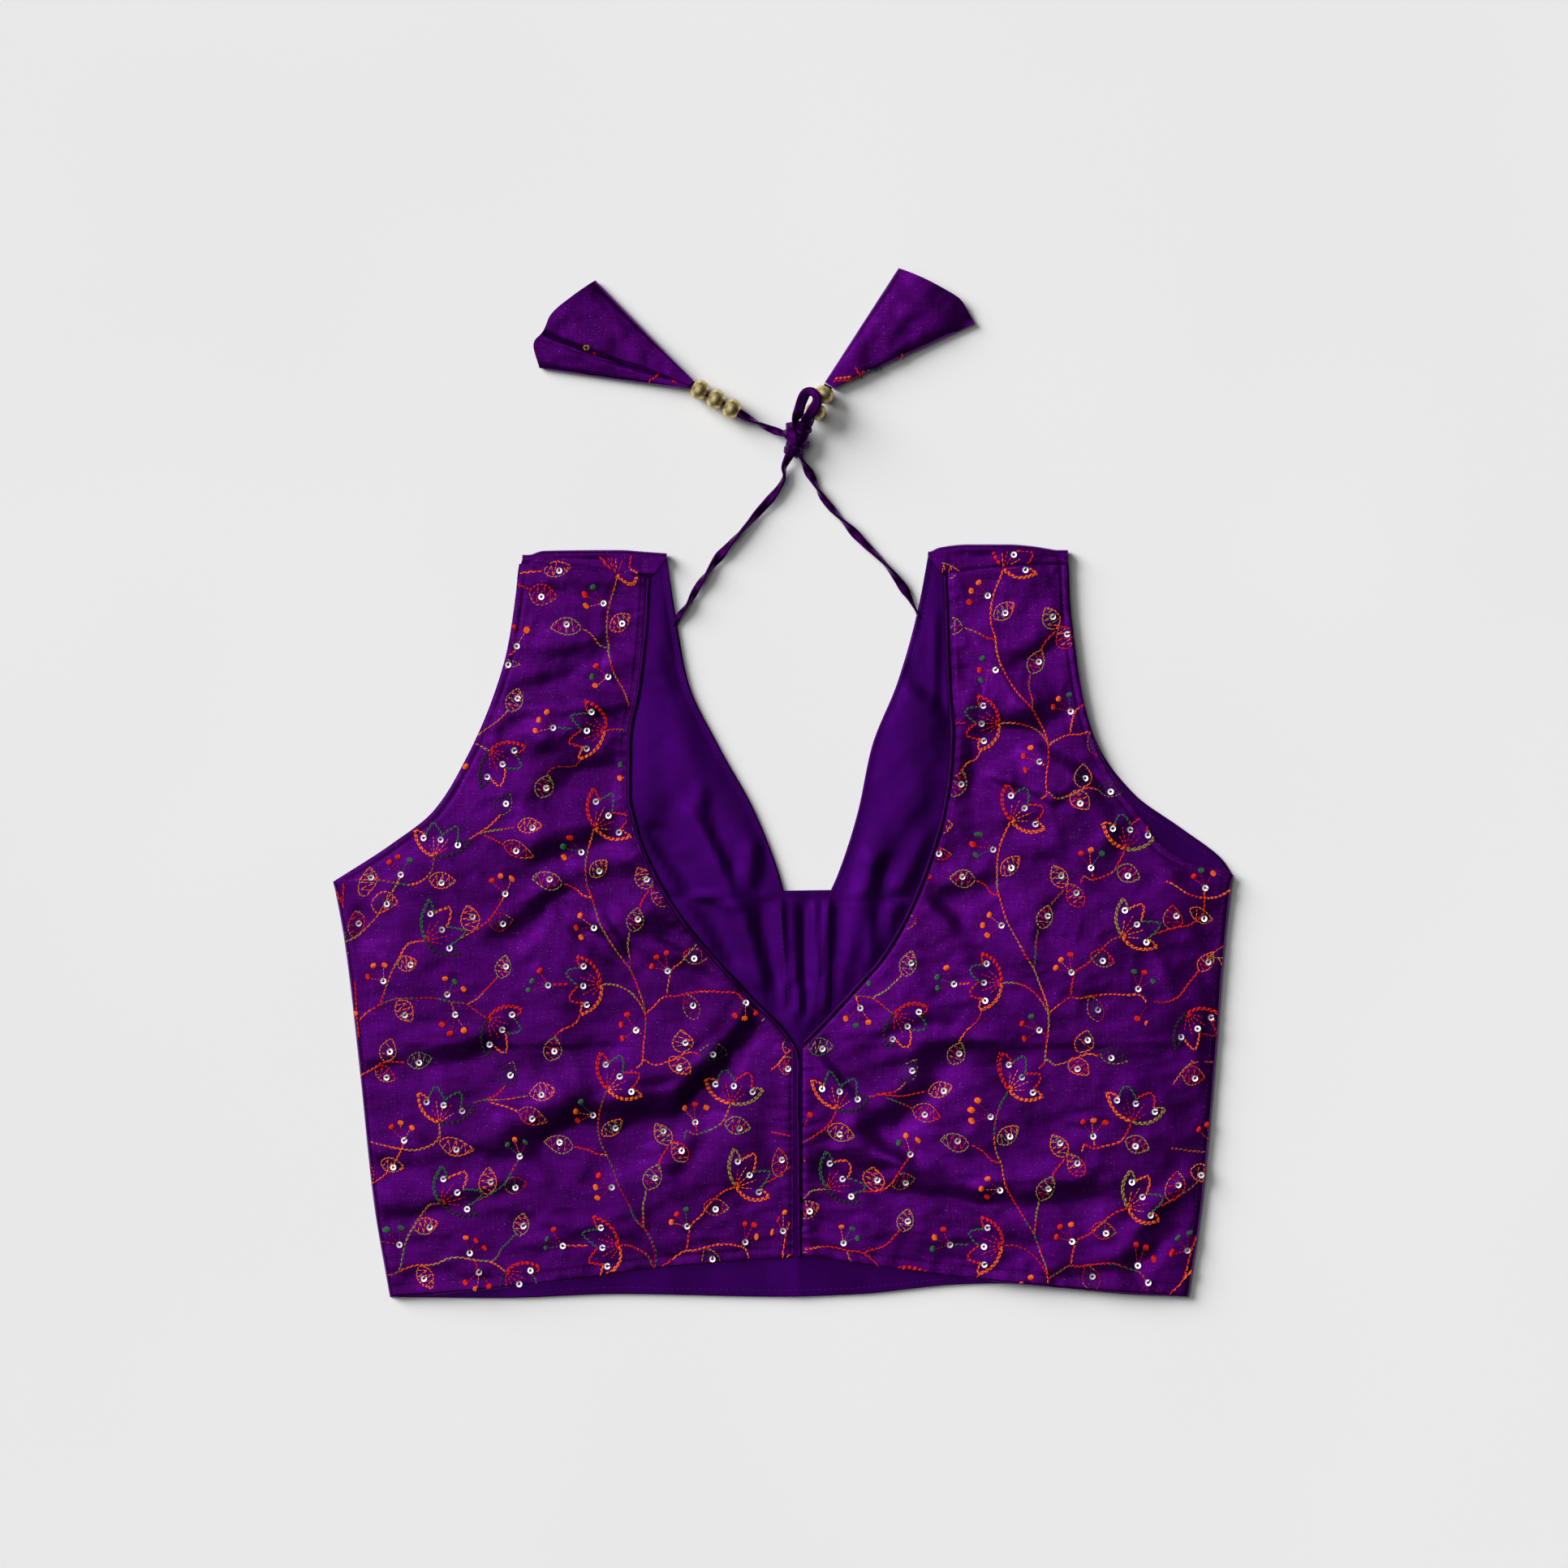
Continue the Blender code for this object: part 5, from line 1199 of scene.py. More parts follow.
class Pen:
    """Collects stitches as rows: from x, from y, to x, to y, width, colour. Sequins are x, y rows."""

    def __init__(self, seed):
        self.chance = np.random.default_rng(seed)
        self.stitches = []
        self.sequins = []

    def line(self, points, colours, width=0.7, length=2.1, gap=0.25, rows=(0.0,), slant=0.0):
        """Stitches along a curve, in one or more rows beside it, changing colour as the thread does."""
        path = smooth_path(points, 0.5)
        run = 0.5 * np.arange(len(path))
        square = np.gradient(path, axis=0)
        square = np.column_stack([-square[:, 1], square[:, 0]]) / np.linalg.norm(square, axis=1)[:, None]
        for k, offset in enumerate(rows):
            at = (0.5 * length if k % 2 else 0.0) * self.chance.uniform(0.5, 1.0)
            colour, left = self.pick(colours), self.chance.uniform(4, 12)
            while at < run[-1] - 0.6:
                size = length * self.chance.uniform(0.85, 1.15)
                ends = np.array([at + gap / 2, min(at + size - gap / 2, run[-1])])
                spots = np.column_stack([np.interp(ends, run, path[:, i]) for i in (0, 1)])
                sides = np.column_stack([np.interp(ends, run, square[:, i]) for i in (0, 1)])
                lean = slant * (1 if k % 2 else -1)
                shift = offset + np.array([-lean, lean]) + self.chance.normal(0, 0.07, 2)
                spots = spots + sides * shift[:, None]
                self.stitches.append((*spots[0], *spots[1], width * self.chance.uniform(0.88, 1.12), colour))
                at += size
                left -= size
                if left < 0:
                    colour, left = self.pick(colours), self.chance.uniform(4, 12)

    def pick(self, colours):
        name = colours if isinstance(colours, str) else colours[self.chance.integers(len(colours))]
        return THREADS.index(name)

    def stem(self, points):
        mixed = ("orange", "red", "maroon", "olive", "red", "orange", "green")
        tones = tuple(self.chance.choice(mixed, 2)) + ("red",)
        self.line(points, tones, 0.6, 2.4, 0.2, (-0.22, 0.22), 0.16)

    def flower(self, x, y, axis, first, second, third, last, vein):
        reach = FLOWER_REACH * self.chance.uniform(0.97, 1.06)
        axis += self.chance.uniform(-4, 4)
        edge = polar((0, 0.0), (80, 4.0), (74, 8.0), (63, 13.0), (51, reach))
        for sign, colour in ((1, first), (-1, last)):
            sides = [(a, sign * b) for a, b in edge]
            self.line(turned(sides, x, y, axis), colour, rows=(0.0, 0.5 * sign, -0.5 * sign), length=2.5)
            inner = [(a, sign * b) for a, b in polar((51, reach), (45, 15.6), (39, 12.6))]
            self.line(turned(inner, x, y, axis), colour, rows=(0.0, 0.45), length=2.0)
        tips = (
            (polar((39, 12.6), (33, 14.6), (27, 16.2), (21, reach)), second),
            (polar((21, reach), (15, 16.4), (8, 13.6), (1, 11.4)), second),
            (polar((1, 11.4), (-7, 13.8), (-14, 16.4), (-20, reach)), third),
            (polar((-20, reach), (-27, 16.2), (-33, 14.4), (-39, 12.4)), third),
        )
        for points, colour in tips:
            self.line(turned(points, x, y, axis), colour, rows=(0.0, 0.45), length=2.2)
        for angle, far in ((40, 8.0), (22, 11.0), (2, 8.4), (-18, 11.0), (-38, 8.5)):
            points = turned(polar((angle, 0.8), (angle * 1.06, far)), x, y, axis)
            self.line(points, (vein, vein, "red"), 0.54, 2.2, 0.3)
        for angle, far in ((47, 12.4), (2, 9.4), (-47, 12.2)):
            self.sequins.append(tuple(turned(polar((angle, far)), x, y, axis)[0]))

    def leaf(self, x, y, axis, outline, hatch):
        half, wide = 6.4 * self.chance.uniform(0.92, 1.06), 4.2 * self.chance.uniform(0.9, 1.08)
        axis += self.chance.uniform(-8, 8)
        share = np.linspace(0, 1, 9)
        belly = wide * np.sin(math.pi * share**0.85) ** 0.85
        for sign in (1, -1):
            points = np.column_stack([(share * 2 - 1) * half, sign * belly])
            self.line(turned(points, x, y, axis), (outline, outline, "olive"), 0.5, 1.9, 0.35, (0.0, 0.25))
        count = 8
        spots = []
        for k in range(count):
            at = 0.12 + 0.78 * k / (count - 1)
            reach = 0.86 * wide * math.sin(math.pi * at**0.85) ** 0.85
            lean = 0.9 if k % 2 else -0.2
            spots.append(((at * 2 - 1) * half + lean, reach if k % 2 else -reach))
        for a, b in zip(spots[:-1], spots[1:]):
            self.line(turned([a, b], x, y, axis), (hatch, hatch, outline), 0.45, 2.8, 0.15)
        self.sequins.append(tuple(turned([(self.chance.uniform(-1.2, 1.6), -0.9)], x, y, axis)[0]))

    def sprig(self, x, y, *angles):
        for angle in angles:
            colour = ("orange", "red", "green", "red", "orange")[self.chance.integers(5)]
            far = self.chance.uniform(7.6, 9.2)
            spot = turned(polar((angle, far)), x, y, 0)[0]
            points = turned(polar((angle, 1.4), (angle + 4, far - 1)), x, y, 0)
            self.line(points, (colour, "maroon"), 0.45, 1.7, 0.3)
            lean = angle + self.chance.uniform(-30, 30)
            for offset in (-1.05, -0.5, 0.05, 0.6, 1.1):
                half = 1.55 * math.sqrt(1 - (offset / 1.6) ** 2)
                ends = turned([(-half, offset), (half, offset)], *spot, lean)
                self.stitches.append((*ends[0], *ends[1], 0.85, THREADS.index(colour)))
        self.sequins.append((x, y))


def stitch_mesh(name, rows, surface):
    """Stitches as small rounded grains that lie on a surface."""
    a, b = rows[:, 0:2], rows[:, 2:4]
    width, colour = rows[:, 4], rows[:, 5].astype(int)
    run = b - a
    square = np.column_stack([-run[:, 1], run[:, 0]]) / np.maximum(np.linalg.norm(run, axis=1), 1e-6)[:, None]
    grains = []
    for share, corners in ((0.0, ((0, 0.1),)), (0.2, None), (0.8, None), (1.0, ((0, 0.1),))):
        for out, up in corners or ((-0.5, -0.05), (-0.28, 0.5), (0.28, 0.5), (0.5, -0.05)):
            spot = a + run * share + square * (out * width)[:, None]
            grains.append(np.column_stack([spot, surface(spot[:, 0], spot[:, 1]) + up * width]))
    points = np.stack(grains, axis=1).reshape(-1, 3)
    one = [(0, 2, 1), (0, 3, 2), (0, 4, 3), (0, 1, 4)]
    four = [(1, 2, 6, 5), (2, 3, 7, 6), (3, 4, 8, 7), (4, 1, 5, 8)]
    other = [(9, 5, 6), (9, 6, 7), (9, 7, 8), (9, 8, 5)]
    base = 10 * np.arange(len(rows))[:, None, None]
    triangles = (np.array(one + other)[None] + base).reshape(-1, 3)
    quads = (np.array(four)[None] + base).reshape(-1, 4)
    faces = triangles.tolist() + quads.tolist()
    slots = np.concatenate([np.repeat(colour, 8), np.repeat(colour, 4)])
    return place(mesh_object(name, points, faces, THREAD_FINISHES, slots))


SCRAP_REACH = 1.6
# Scraps of the embroidery's thread that the tassels' satin was cut through: colour, and the way of the thread
TASSEL_SCRAPS = {
    "tassel_left": (
        ("olive", ((-100.0, 286.9), (-98.2, 288.0), (-96.6, 286.6), (-98.4, 285.4), (-100.0, 286.9))),
        ("red", ((-96.0, 284.6), (-93.5, 283.6))),
        ("red", ((-67.7, 269.6), (-62.1, 273.8))),
        ("red", ((-55.9, 270.6), (-53.1, 269.6))),
        ("dark", ((-53.1, 267.8), (-48.4, 266.9))),
    ),
    "tassel_right": (
        ("red", ((24.8, 270.2), (34.8, 271.2), (41.1, 275.5))),
        ("orange", ((25.6, 271.4), (34.2, 272.4))),
        ("red", ((36.1, 277.2), (39.9, 270.6))),
        ("green", ((41.7, 275.3), (47.4, 276.3), (52.1, 275.9))),
        ("orange", ((57.7, 278.1), (60.0, 283.7))),
    ),
}


def scraps(node, spots, upper, seed):
    """The scraps of thread that lie on a tassel."""
    pen = Pen(seed)
    for colour, points in TASSEL_SCRAPS[node]:
        pen.line(points, colour, 0.66, 2.0, 0.2, (-0.2, 0.2))
    rows = np.array(pen.stitches, float)
    flat, heights = spots.reshape(-1, 2), upper.reshape(-1)

    def gaps(x, y):
        return np.hypot(x[:, None] - flat[:, 0], y[:, None] - flat[:, 1])

    middle = (rows[:, 0:2] + rows[:, 2:4]) / 2
    rows = rows[gaps(middle[:, 0], middle[:, 1]).min(axis=1) < SCRAP_REACH]
    return stitch_mesh(f"threads_{node}", rows, lambda x, y: heights[gaps(x, y).argmin(axis=1)] + 0.1)


def tassel(name, node, tip, wide_end, line, seed):
    """A folded cone of satin: a thin shell that is closed at its tip and open at its wide end."""
    tip = np.array(tip, float)
    end = smooth_path(wide_end, 1.4)
    across, rows = len(end), 48
    spread = end[-1, :2] - end[0, :2]
    spread = spread / np.linalg.norm(spread)
    fraction = np.linspace(0, 1, across)
    share = np.linspace(0, 1, rows + 1)[:, None]
    near = tip + spread * (fraction[:, None] - 0.5) * TASSEL_TIP_WIDTH
    spots = near[None] + (end[None, :, :2] - near[None]) * share[:, :, None]
    height = TASSEL_TIP_HEIGHT + (end[None, :, 2] - TASSEL_TIP_HEIGHT) * share
    edge = np.clip(np.minimum(fraction, 1 - fraction) * across / 3.0, 0, 1)
    rounding = np.sqrt(1 - (1 - edge) ** 2)[None, :]
    fold = (line or 0.5) + 0.05 * np.sin(2.6 * share)
    step = np.clip((fraction[None, :] - fold) * 26, -1, 1)
    x, y = spots[:, :, 0], spots[:, :, 1]
    drape = 0.55 * noise(x, y, 9.0, seed) + 0.2 * noise(x, y, 4.0, seed + 1)
    if line:
        folded = -1.5 * np.exp(-(((fraction[None, :] - fold) / 0.04) ** 2)) - 0.6 * step
    else:
        folded = -2.2 * np.clip((share - 0.8) / 0.2, 0, 1) ** 1.5 * np.clip(1.5 - 2 * fraction[None, :], 0, 1)
    top = height + (drape * 0.7 + folded) * np.clip(share * 4, 0.15, 1) * rounding
    middle = 0.5 * (TASSEL_FLOOR + height)
    upper = middle + (top - middle) * rounding
    lower = middle + (TASSEL_FLOOR - middle) * rounding
    upper, lower = np.maximum(upper, lower + 0.7), lower
    pull = ((0.5 - fraction) * 2 * TASSEL_WALL * (1 - rounding[0]))[:, None] * spread
    outer_top = np.dstack([spots, upper])
    outer_low = np.dstack([spots, lower])
    wall = np.minimum(TASSEL_WALL, 0.4 * (upper - lower))
    inner_top = np.dstack([spots + pull, upper - wall])
    inner_low = np.dstack([spots + pull, lower + wall])
    outer = np.concatenate([outer_low, outer_top[:, ::-1]], axis=1)
    inner = np.concatenate([inner_low, inner_top[:, ::-1]], axis=1)
    first = rows // 4
    around = outer.shape[1]
    outside = np.arange((rows + 1) * around).reshape(-1, around)
    inside = outside[-1, -1] + 1 + np.arange((rows + 1 - first) * around).reshape(-1, around)
    points = np.concatenate([outer.reshape(-1, 3), inner[first:].reshape(-1, 3)])
    faces = [outside[0].tolist(), inside[0, ::-1].tolist()]
    for rings, flip in ((outside, 1), (inside, -1)):
        a, b = rings[:-1], rings[1:]
        quads = np.stack([a, b, np.roll(b, -1, 1), np.roll(a, -1, 1)], -1).reshape(-1, 4)
        faces += quads[:, ::flip].tolist()
    a, b = outside[-1], inside[-1]
    faces += np.stack([a, b, np.roll(b, -1), np.roll(a, -1)], -1).tolist()
    thing = mesh_object(name, points, faces, [SATIN], sharp_angle=60)
    return [place(thing, "satin", node), scraps(node, spots, upper, seed)]


LEFT_TASSEL = tassel("tassel_left_satin", "tassel_left", LEFT_TASSEL_TIP, LEFT_TASSEL_END, 0.66, 51)
RIGHT_TASSEL = tassel("tassel_right_satin", "tassel_right", RIGHT_TASSEL_TIP, RIGHT_TASSEL_END, None, 53)


# Rows of each front: the height at its left edge and at its right edge, and the rows up to it
HEM_LEVEL = -188.0
HEM_REACH = 90.0
VEE_LEVEL = -64.6
SEAM_TUCK = 0.3
FRONT_ROWS = {
    "left": (((HEM_LEVEL, HEM_LEVEL), 0), ((-62.0, VEE_LEVEL), 82), ((19.9, 19.9), 54), ((176.0, 170.0), 102)),
    "right": (((HEM_LEVEL, HEM_LEVEL), 0), ((VEE_LEVEL, -62.0), 82), ((19.9, 23.2), 54), ((170.0, 176.0), 102)),
}
FRONT_COLUMNS = 104
TOP_LEVEL = 170.0
TOP_FROM = 100.0


def levels(rows):
    """The height of each row at a panel's edges, closer at the first and the last row."""
    heights = [np.array(rows[0][0], float)]
    for level, steps in rows[1:]:
        start = heights[-1]
        heights += [start + (np.array(level) - start) * k / steps for k in range(1, steps + 1)]
    heights[1:1] = [heights[0] + RIM[0], heights[0] + RIM[1]]
    heights[-1:-1] = [heights[-1] - RIM[1], heights[-1] - RIM[0]]
    return np.array(heights)


def across(low, high, count, rims=(True, True)):
    """Places from one edge to the other for each row, closer at the rims."""
    ends = [RIM[1] if rim else 0.0 for rim in rims]
    share = np.linspace(0, 1, count)
    inner = (low + ends[0])[:, None] + (high - low - sum(ends))[:, None] * share
    before = [low, low + RIM[0]] if rims[0] else []
    after = [high - RIM[0], high] if rims[1] else []
    return np.column_stack(before + [inner] + after)


def bent_to_hem(x, y, hem, nominal):
    """The lower rows of a panel moved from a nominal level to its hem."""
    near = np.clip(1 - (y - nominal) / HEM_REACH, 0, 1) ** 1.5
    return y + (read(hem, x) - nominal) * near


def front(side, edges, node):
    """A front from its hem to the shoulder seam."""
    heights = levels(FRONT_ROWS[side])
    low, high = edges[0](heights[:, 0]), edges[1](heights[:, 1])
    if side == "left":
        high = high + SEAM_TUCK
    else:
        low = low - SEAM_TUCK
    x = across(low, high, FRONT_COLUMNS)
    share = (x - low[:, None]) / (high - low)[:, None]
    y = heights[:, :1] + (heights[:, 1:] - heights[:, :1]) * share
    y = bent_to_hem(x, y, HEMS[side], HEM_LEVEL)
    near_top = np.clip((y - TOP_FROM) / (TOP_LEVEL - TOP_FROM), 0, 1) ** 2
    y = y + (seam_y(x) - y[-1:]) * near_top
    upper = front_top(side, x, y)
    lower = np.maximum(np.minimum(front_bottom(x, y), upper - 0.7), lining_top(x, y) + 0.1)
    away = from_edges(side, x, y)
    upper, lower = rounded(upper, lower, np.min(np.abs(away[:3]), axis=0))
    underarm = LEFT_SIDE[0][0] if side == "left" else RIGHT_SIDE[0][0]
    sewn = np.clip((underarm - y) / 4.0, 0, 1) * (1 - np.clip(away[1] / 1.5, 0, 1))
    lower = lower + (SATIN_WALL + 0.05 - lower) * sewn
    upper = upper + (SATIN_WALL + 0.75 - upper) * sewn
    thing = shell(f"{node}_satin", np.dstack([x, y, lower]), np.dstack([x, y, upper]), FRONT_SATIN[side])
    return place(thing, "satin", node)


FRONTS = {
    "left": front("left", (outer_left, front_inner_left), "front_left"),
    "right": front("right", (front_inner_right, front_outer_right), "front_right"),
}

BACK_ROWS = (
    ((HEM_LEVEL,) * 4, 0),
    ((13.4,) * 4, 44),
    ((19.9, 21.0, 22.0, 23.2), 2),
    ((100.0,) * 4, 26),
    ((180.0,) * 4, 30),
)
BACK_COLUMNS = (46, 6, 46)
FOLD_START = 180.0
FOLD_ANGLES = 16
OVER_ROWS = 14


def panel_grid(rows, edges, columns):
    """x and y of a panel that has a neck opening, and the cells that are there."""
    heights = levels(rows)
    xs, ys = [], []
    for k, count in enumerate(columns):
        low, high = edges[k](heights[:, k]), edges[k + 1](heights[:, k + 1])
        x = across(low, high, count, (True, True) if k != 1 else (False, False))
        share = (x - low[:, None]) / (high - low)[:, None]
        y = heights[:, k : k + 1] + (heights[:, k + 1 : k + 2] - heights[:, k : k + 1]) * share
        xs.append(x if k == 0 else x[:, 1:])
        ys.append(y if k == 0 else y[:, 1:])
    x, y = np.column_stack(xs), np.column_stack(ys)
    present = np.ones((x.shape[0] - 1, x.shape[1] - 1), bool)
    neck_row = int(np.argmax(heights[:, 1] >= rows[1][0][1] if len(rows) == 5 else heights[:, 1] >= rows[2][0][1]))
    first = xs[0].shape[1] - 1
    present[neck_row:, first : first + xs[1].shape[1]] = False
    return x, y, present, first, first + xs[1].shape[1]


def by_side(function, x, y):
    """A front's function read on both sides of the centre."""
    return np.where(x < 0, function("left", x, y), function("right", x, y))


def band_top(x, y):
    """The upper face of the strap where it is carried over the shoulder, down to the seam."""
    return front_bottom(x, y) + FRONT_WALL + by_side(relief, x, y)


def back():
    """The back, flat on the floor, with each strap carried over the shoulder to the shoulder seam."""
    edges = (outer_left, lambda y: read(BACK_NECK_LEFT, y), lambda y: read(BACK_NECK_RIGHT, y), outer_right)
    x, y, present, first, last = panel_grid(BACK_ROWS, edges, BACK_COLUMNS)
    y = bent_to_hem(x, y, BACK_HEM, HEM_LEVEL)
    top_x = x[-1]
    fold_y = shoulder_y(top_x)
    radius = (front_bottom(top_x, fold_y - 3.0) + FRONT_WALL) / 2
    middle_y = fold_y - radius
    near_top = np.clip((y - TOP_FROM) / (FOLD_START - TOP_FROM), 0, 1) ** 2
    y = y + (middle_y[None, :] - FOLD_START) * near_top
    outer_away = np.minimum(x - outer_left(y), outer_right(y) - x)
    neck_away = np.maximum(read(BACK_NECK_LEFT, y) - x, x - read(BACK_NECK_RIGHT, y))
    neck_away = np.where(y > BACK_NECK_LEFT[-1][0], neck_away, BACK_NECK_LEFT[-1][0] - y)
    away = np.minimum(np.minimum(outer_away, np.abs(neck_away)), y - read(BACK_HEM, x))
    upper_z, lower_z = rounded(np.full_like(x, SATIN_WALL), np.zeros_like(x), np.maximum(away, 0))
    lower, upper = np.dstack([x, y, lower_z]), np.dstack([x, y, upper_z])
    for k in range(1, FOLD_ANGLES + 1):
        angle = math.pi * k / FOLD_ANGLES
        rows = []
        for reach in (radius, radius - SATIN_WALL):
            rows.append(
                np.column_stack([top_x, middle_y + reach * math.sin(angle), radius - reach * math.cos(angle)])
            )
        lower = np.concatenate([lower, rows[0][None]])
        upper = np.concatenate([upper, rows[1][None]])
    seam_x = over_shoulder_x(top_x, first, last)
    seam_at = seam_y(seam_x)
    for k in range(1, OVER_ROWS + 1):
        share = k / OVER_ROWS
        over_x = top_x + (seam_x - top_x) * share
        over_y = middle_y + (seam_at - middle_y) * share
        blend = min(1.0, share * 3)
        over_z = 2 * radius * (1 - blend) + band_top(over_x, over_y) * blend
        lower = np.concatenate([lower, np.column_stack([over_x, over_y, over_z])[None]])
        upper = np.concatenate([upper, np.column_stack([over_x, over_y, over_z - SATIN_WALL])[None]])
    extra = np.repeat(present[-1:], lower.shape[0] - 1 - present.shape[0], axis=0)
    return shell("back_panel_satin", lower, upper, SATIN, np.concatenate([present, extra]))


def over_shoulder_x(top_x, first, last):
    """Where each column of a strap meets the shoulder seam: the neck side draws in to the front neck."""
    moved = top_x.copy()
    for sides, neck_at, arm_at, neck, arm_edge in (
        (slice(0, first + 1), first, 0, FRONT_NECK_LEFT, outer_left),
        (slice(last, len(top_x)), last, len(top_x) - 1, FRONT_NECK_RIGHT, outer_right),
    ):
        neck_x = float(read(neck, seam_y(top_x[neck_at])))
        arm_x = float(arm_edge(seam_y(top_x[arm_at])))
        share = (top_x[sides] - top_x[arm_at]) / (top_x[neck_at] - top_x[arm_at])
        moved[sides] = arm_x + share * (neck_x - arm_x)
    return moved


LINING_ROWS = (
    ((HEM_LEVEL,) * 4, 0),
    ((-70.0,) * 4, 30),
    ((13.4 - LINING_INSET,) * 4, 44),
    ((19.9, 21.0, 22.0, 23.2), 3),
    ((130.0,) * 4, 56),
    ((176.0,) * 4, 18),
)
LINING_COLUMNS = (58, 14, 58)


def lining_relief(x, y):
    """The lining's finer folds where it shows inside the neck, and its flat stitched edge below."""
    inside_front = np.maximum(read(FRONT_NECK_LEFT, y) - x, x - read(FRONT_NECK_RIGHT, y))
    shown = 1 / (1 + np.exp(np.clip((inside_front + 3.0) / 2.5, -60, 60)))
    from_neck = np.maximum(read(BACK_NECK_LEFT, y) - x, x - read(BACK_NECK_RIGHT, y))
    from_neck = np.where(y > BACK_NECK_LEFT[-1][0], from_neck, BACK_NECK_LEFT[-1][0] - y)
    soft = 1.4 * slopes(LINING_SLOPES, x, y) + 0.6 * folds(LINING_CREASES, x, y) - 0.5 * folds(LINING_FOLDS, x, y)
    soft += 0.2 * noise(x + 0.4 * y, 0.4 * y, 9.0, 7)
    ripple = 0.1 * noise(x, y, 6.0, 8)
    groove = -0.25 * np.exp(-(((from_neck - 3.0) / 0.8) ** 2))
    return shown * (soft * rising(from_neck, 4.0) + ripple + groove)


def back_lining():
    edges = (
        lambda y: outer_left(y) + 2 * LINING_INSET,
        lambda y: read(BACK_NECK_LEFT, y) - LINING_INSET,
        lambda y: read(BACK_NECK_RIGHT, y) + LINING_INSET,
        lambda y: outer_right(y) - 2 * LINING_INSET,
    )
    x, y, present, _, _ = panel_grid(LINING_ROWS, edges, LINING_COLUMNS)
    y = bent_to_hem(x, y, BACK_HEM, HEM_LEVEL - LINING_INSET)
    near_top = np.clip((y - 130.0) / (176.0 - 130.0), 0, 1) ** 2
    y = y + (shoulder_y(x) - 3.4 - 176.0) * near_top
    top = lining_top(x, y)
    upper = np.maximum(top + lining_relief(x, y), LINING_BASE + 0.7)
    lower = np.maximum(upper - LINING_WALL, SATIN_WALL + 0.1)
    return shell("back_lining_cloth", np.dstack([x, y, lower]), np.dstack([x, y, upper]), LINING, present)


BACK = place(back(), "satin", "back_panel")
BACK_LINING = place(back_lining(), "lining", "back_lining")

PIPING_TURN = 5.0
PIPING_TOP = 172.0


def piping(side, neck, towards, down_centre):
    """The narrow rolled binding of a neck edge, on the left carried on down the centre front."""
    middle = moved_in(neck, towards * PIPING_WIDTH / 2)
    top = float(seam_y(float(read(middle, PIPING_TOP)))) - 2 * SEAM_GAP
    end = neck[-1][0]
    rows = [(float(read(middle, y)), float(y)) for y in np.linspace(top, end + PIPING_TURN, 34)]
    if down_centre:
        hem = float(read(LEFT_FRONT_HEM, LEFT_FRONT_HEM[-1][0]))
        places = [*np.arange(end - PIPING_TURN, hem, -14.0), hem]
        rows += [(float(read(CENTRE_FRONT, y)), float(y)) for y in places]
    else:
        rows.append((float(read(middle, end + 0.9)), end + 0.9))
    path = smooth_path(rows, 1.3)
    along = 1.3 * np.arange(len(path))
    z = front_bottom(path[:, 0], path[:, 1]) + FRONT_WALL / 2 + 0.2
    path = np.column_stack([path, z + 0.08 * np.sin(along / 3.1)])
    swell = 1 + 0.07 * noise(along, 0 * along, 4.0, 21) + 0.04 * np.sin(along / 1.5)
    turn = 0.25 * noise(along, 0 * along, 7.0, 22)
    half_width, half_height = PIPING_WIDTH / 2 * swell, PIPING_HEIGHT / 2 * swell
    points, faces = tube("piping", PIPING, path, half_width, half_height, turn, 10)
    node = f"piping_{side}"
    return place(mesh_object(f"{node}_cloth", points, faces, [PIPING]), "piping", node)


piping("left", FRONT_NECK_LEFT, -1, True)
piping("right", FRONT_NECK_RIGHT, 1, False)

# Embroidery, charted in a repeat that is stepped over both fronts and the shoulders
REPEAT = (201.4, 130.2)
REPEAT_FROM = (-209.6, -67.1)
REPEATS = [(across_by, up_by) for across_by in (-1, 0, 1, 2) for up_by in (-1, 0, 1, 2)]
# Columns: x, y of the foot, degrees of the axis, then the colours from the left edge over the tips to the right edge
FLOWERS = (
    (33, 59, 30, "green", "orange", "green", "dark", "red"),
    (61, 19, -45, "red", "green", "orange", "dark", "red"),
    (38, 98, 78, "orange", "green", "green", "dark", "orange"),
    (116, 114, 45, "red", "green", "red", "orange", "orange"),
    (117, 35, 180, "orange", "red", "green", "red", "red"),
    (179, 102, 78, "orange", "green", "red", "olive", "maroon"),
    (179, 60, 38, "olive", "orange", "green", "orange", "orange"),
)
# Columns: x, y of the middle, degrees of the tip, outline, hatching
LEAVES = (
    (13, 74, -8, "orange", "dark"),
    (0, 69, 88, "red", "maroon"),
    (53, 69, 95, "orange", "orange"),
    (68, 67, 5, "maroon", "dark"),
    (22, 46, 20, "orange", "orange"),
    (70, 46, 70, "olive", "orange"),
    (20, 22, -55, "orange", "orange"),
    (13, 3, 80, "orange", "dark"),
    (29, -2, 5, "green", "olive"),
    (11, -9, -20, "red", "maroon"),
    (96, 1, 70, "olive", "red"),
    (72, -7, 60, "dark", "dark"),
    (88, -18, 8, "orange", "orange"),
    (82, -30, -18, "red", "red"),
    (117, 93, 42, "orange", "olive"),
    (91, 87, 175, "olive", "red"),
    (140, 89, 112, "orange", "olive"),
    (148, 80, 125, "red", "orange"),
    (136, 68, 72, "olive", "red"),
    (168, 49, -5, "red", "dark"),
    (165, 27, 118, "maroon", "dark"),
    (159, 11, 80, "orange", "dark"),
    (172, 4, -12, "dark", "dark"),
    (158, -2, -50, "orange", "red"),
    (182, 91, -20, "olive", "red"),
    (42, 86, -10, "orange", "orange"),
)
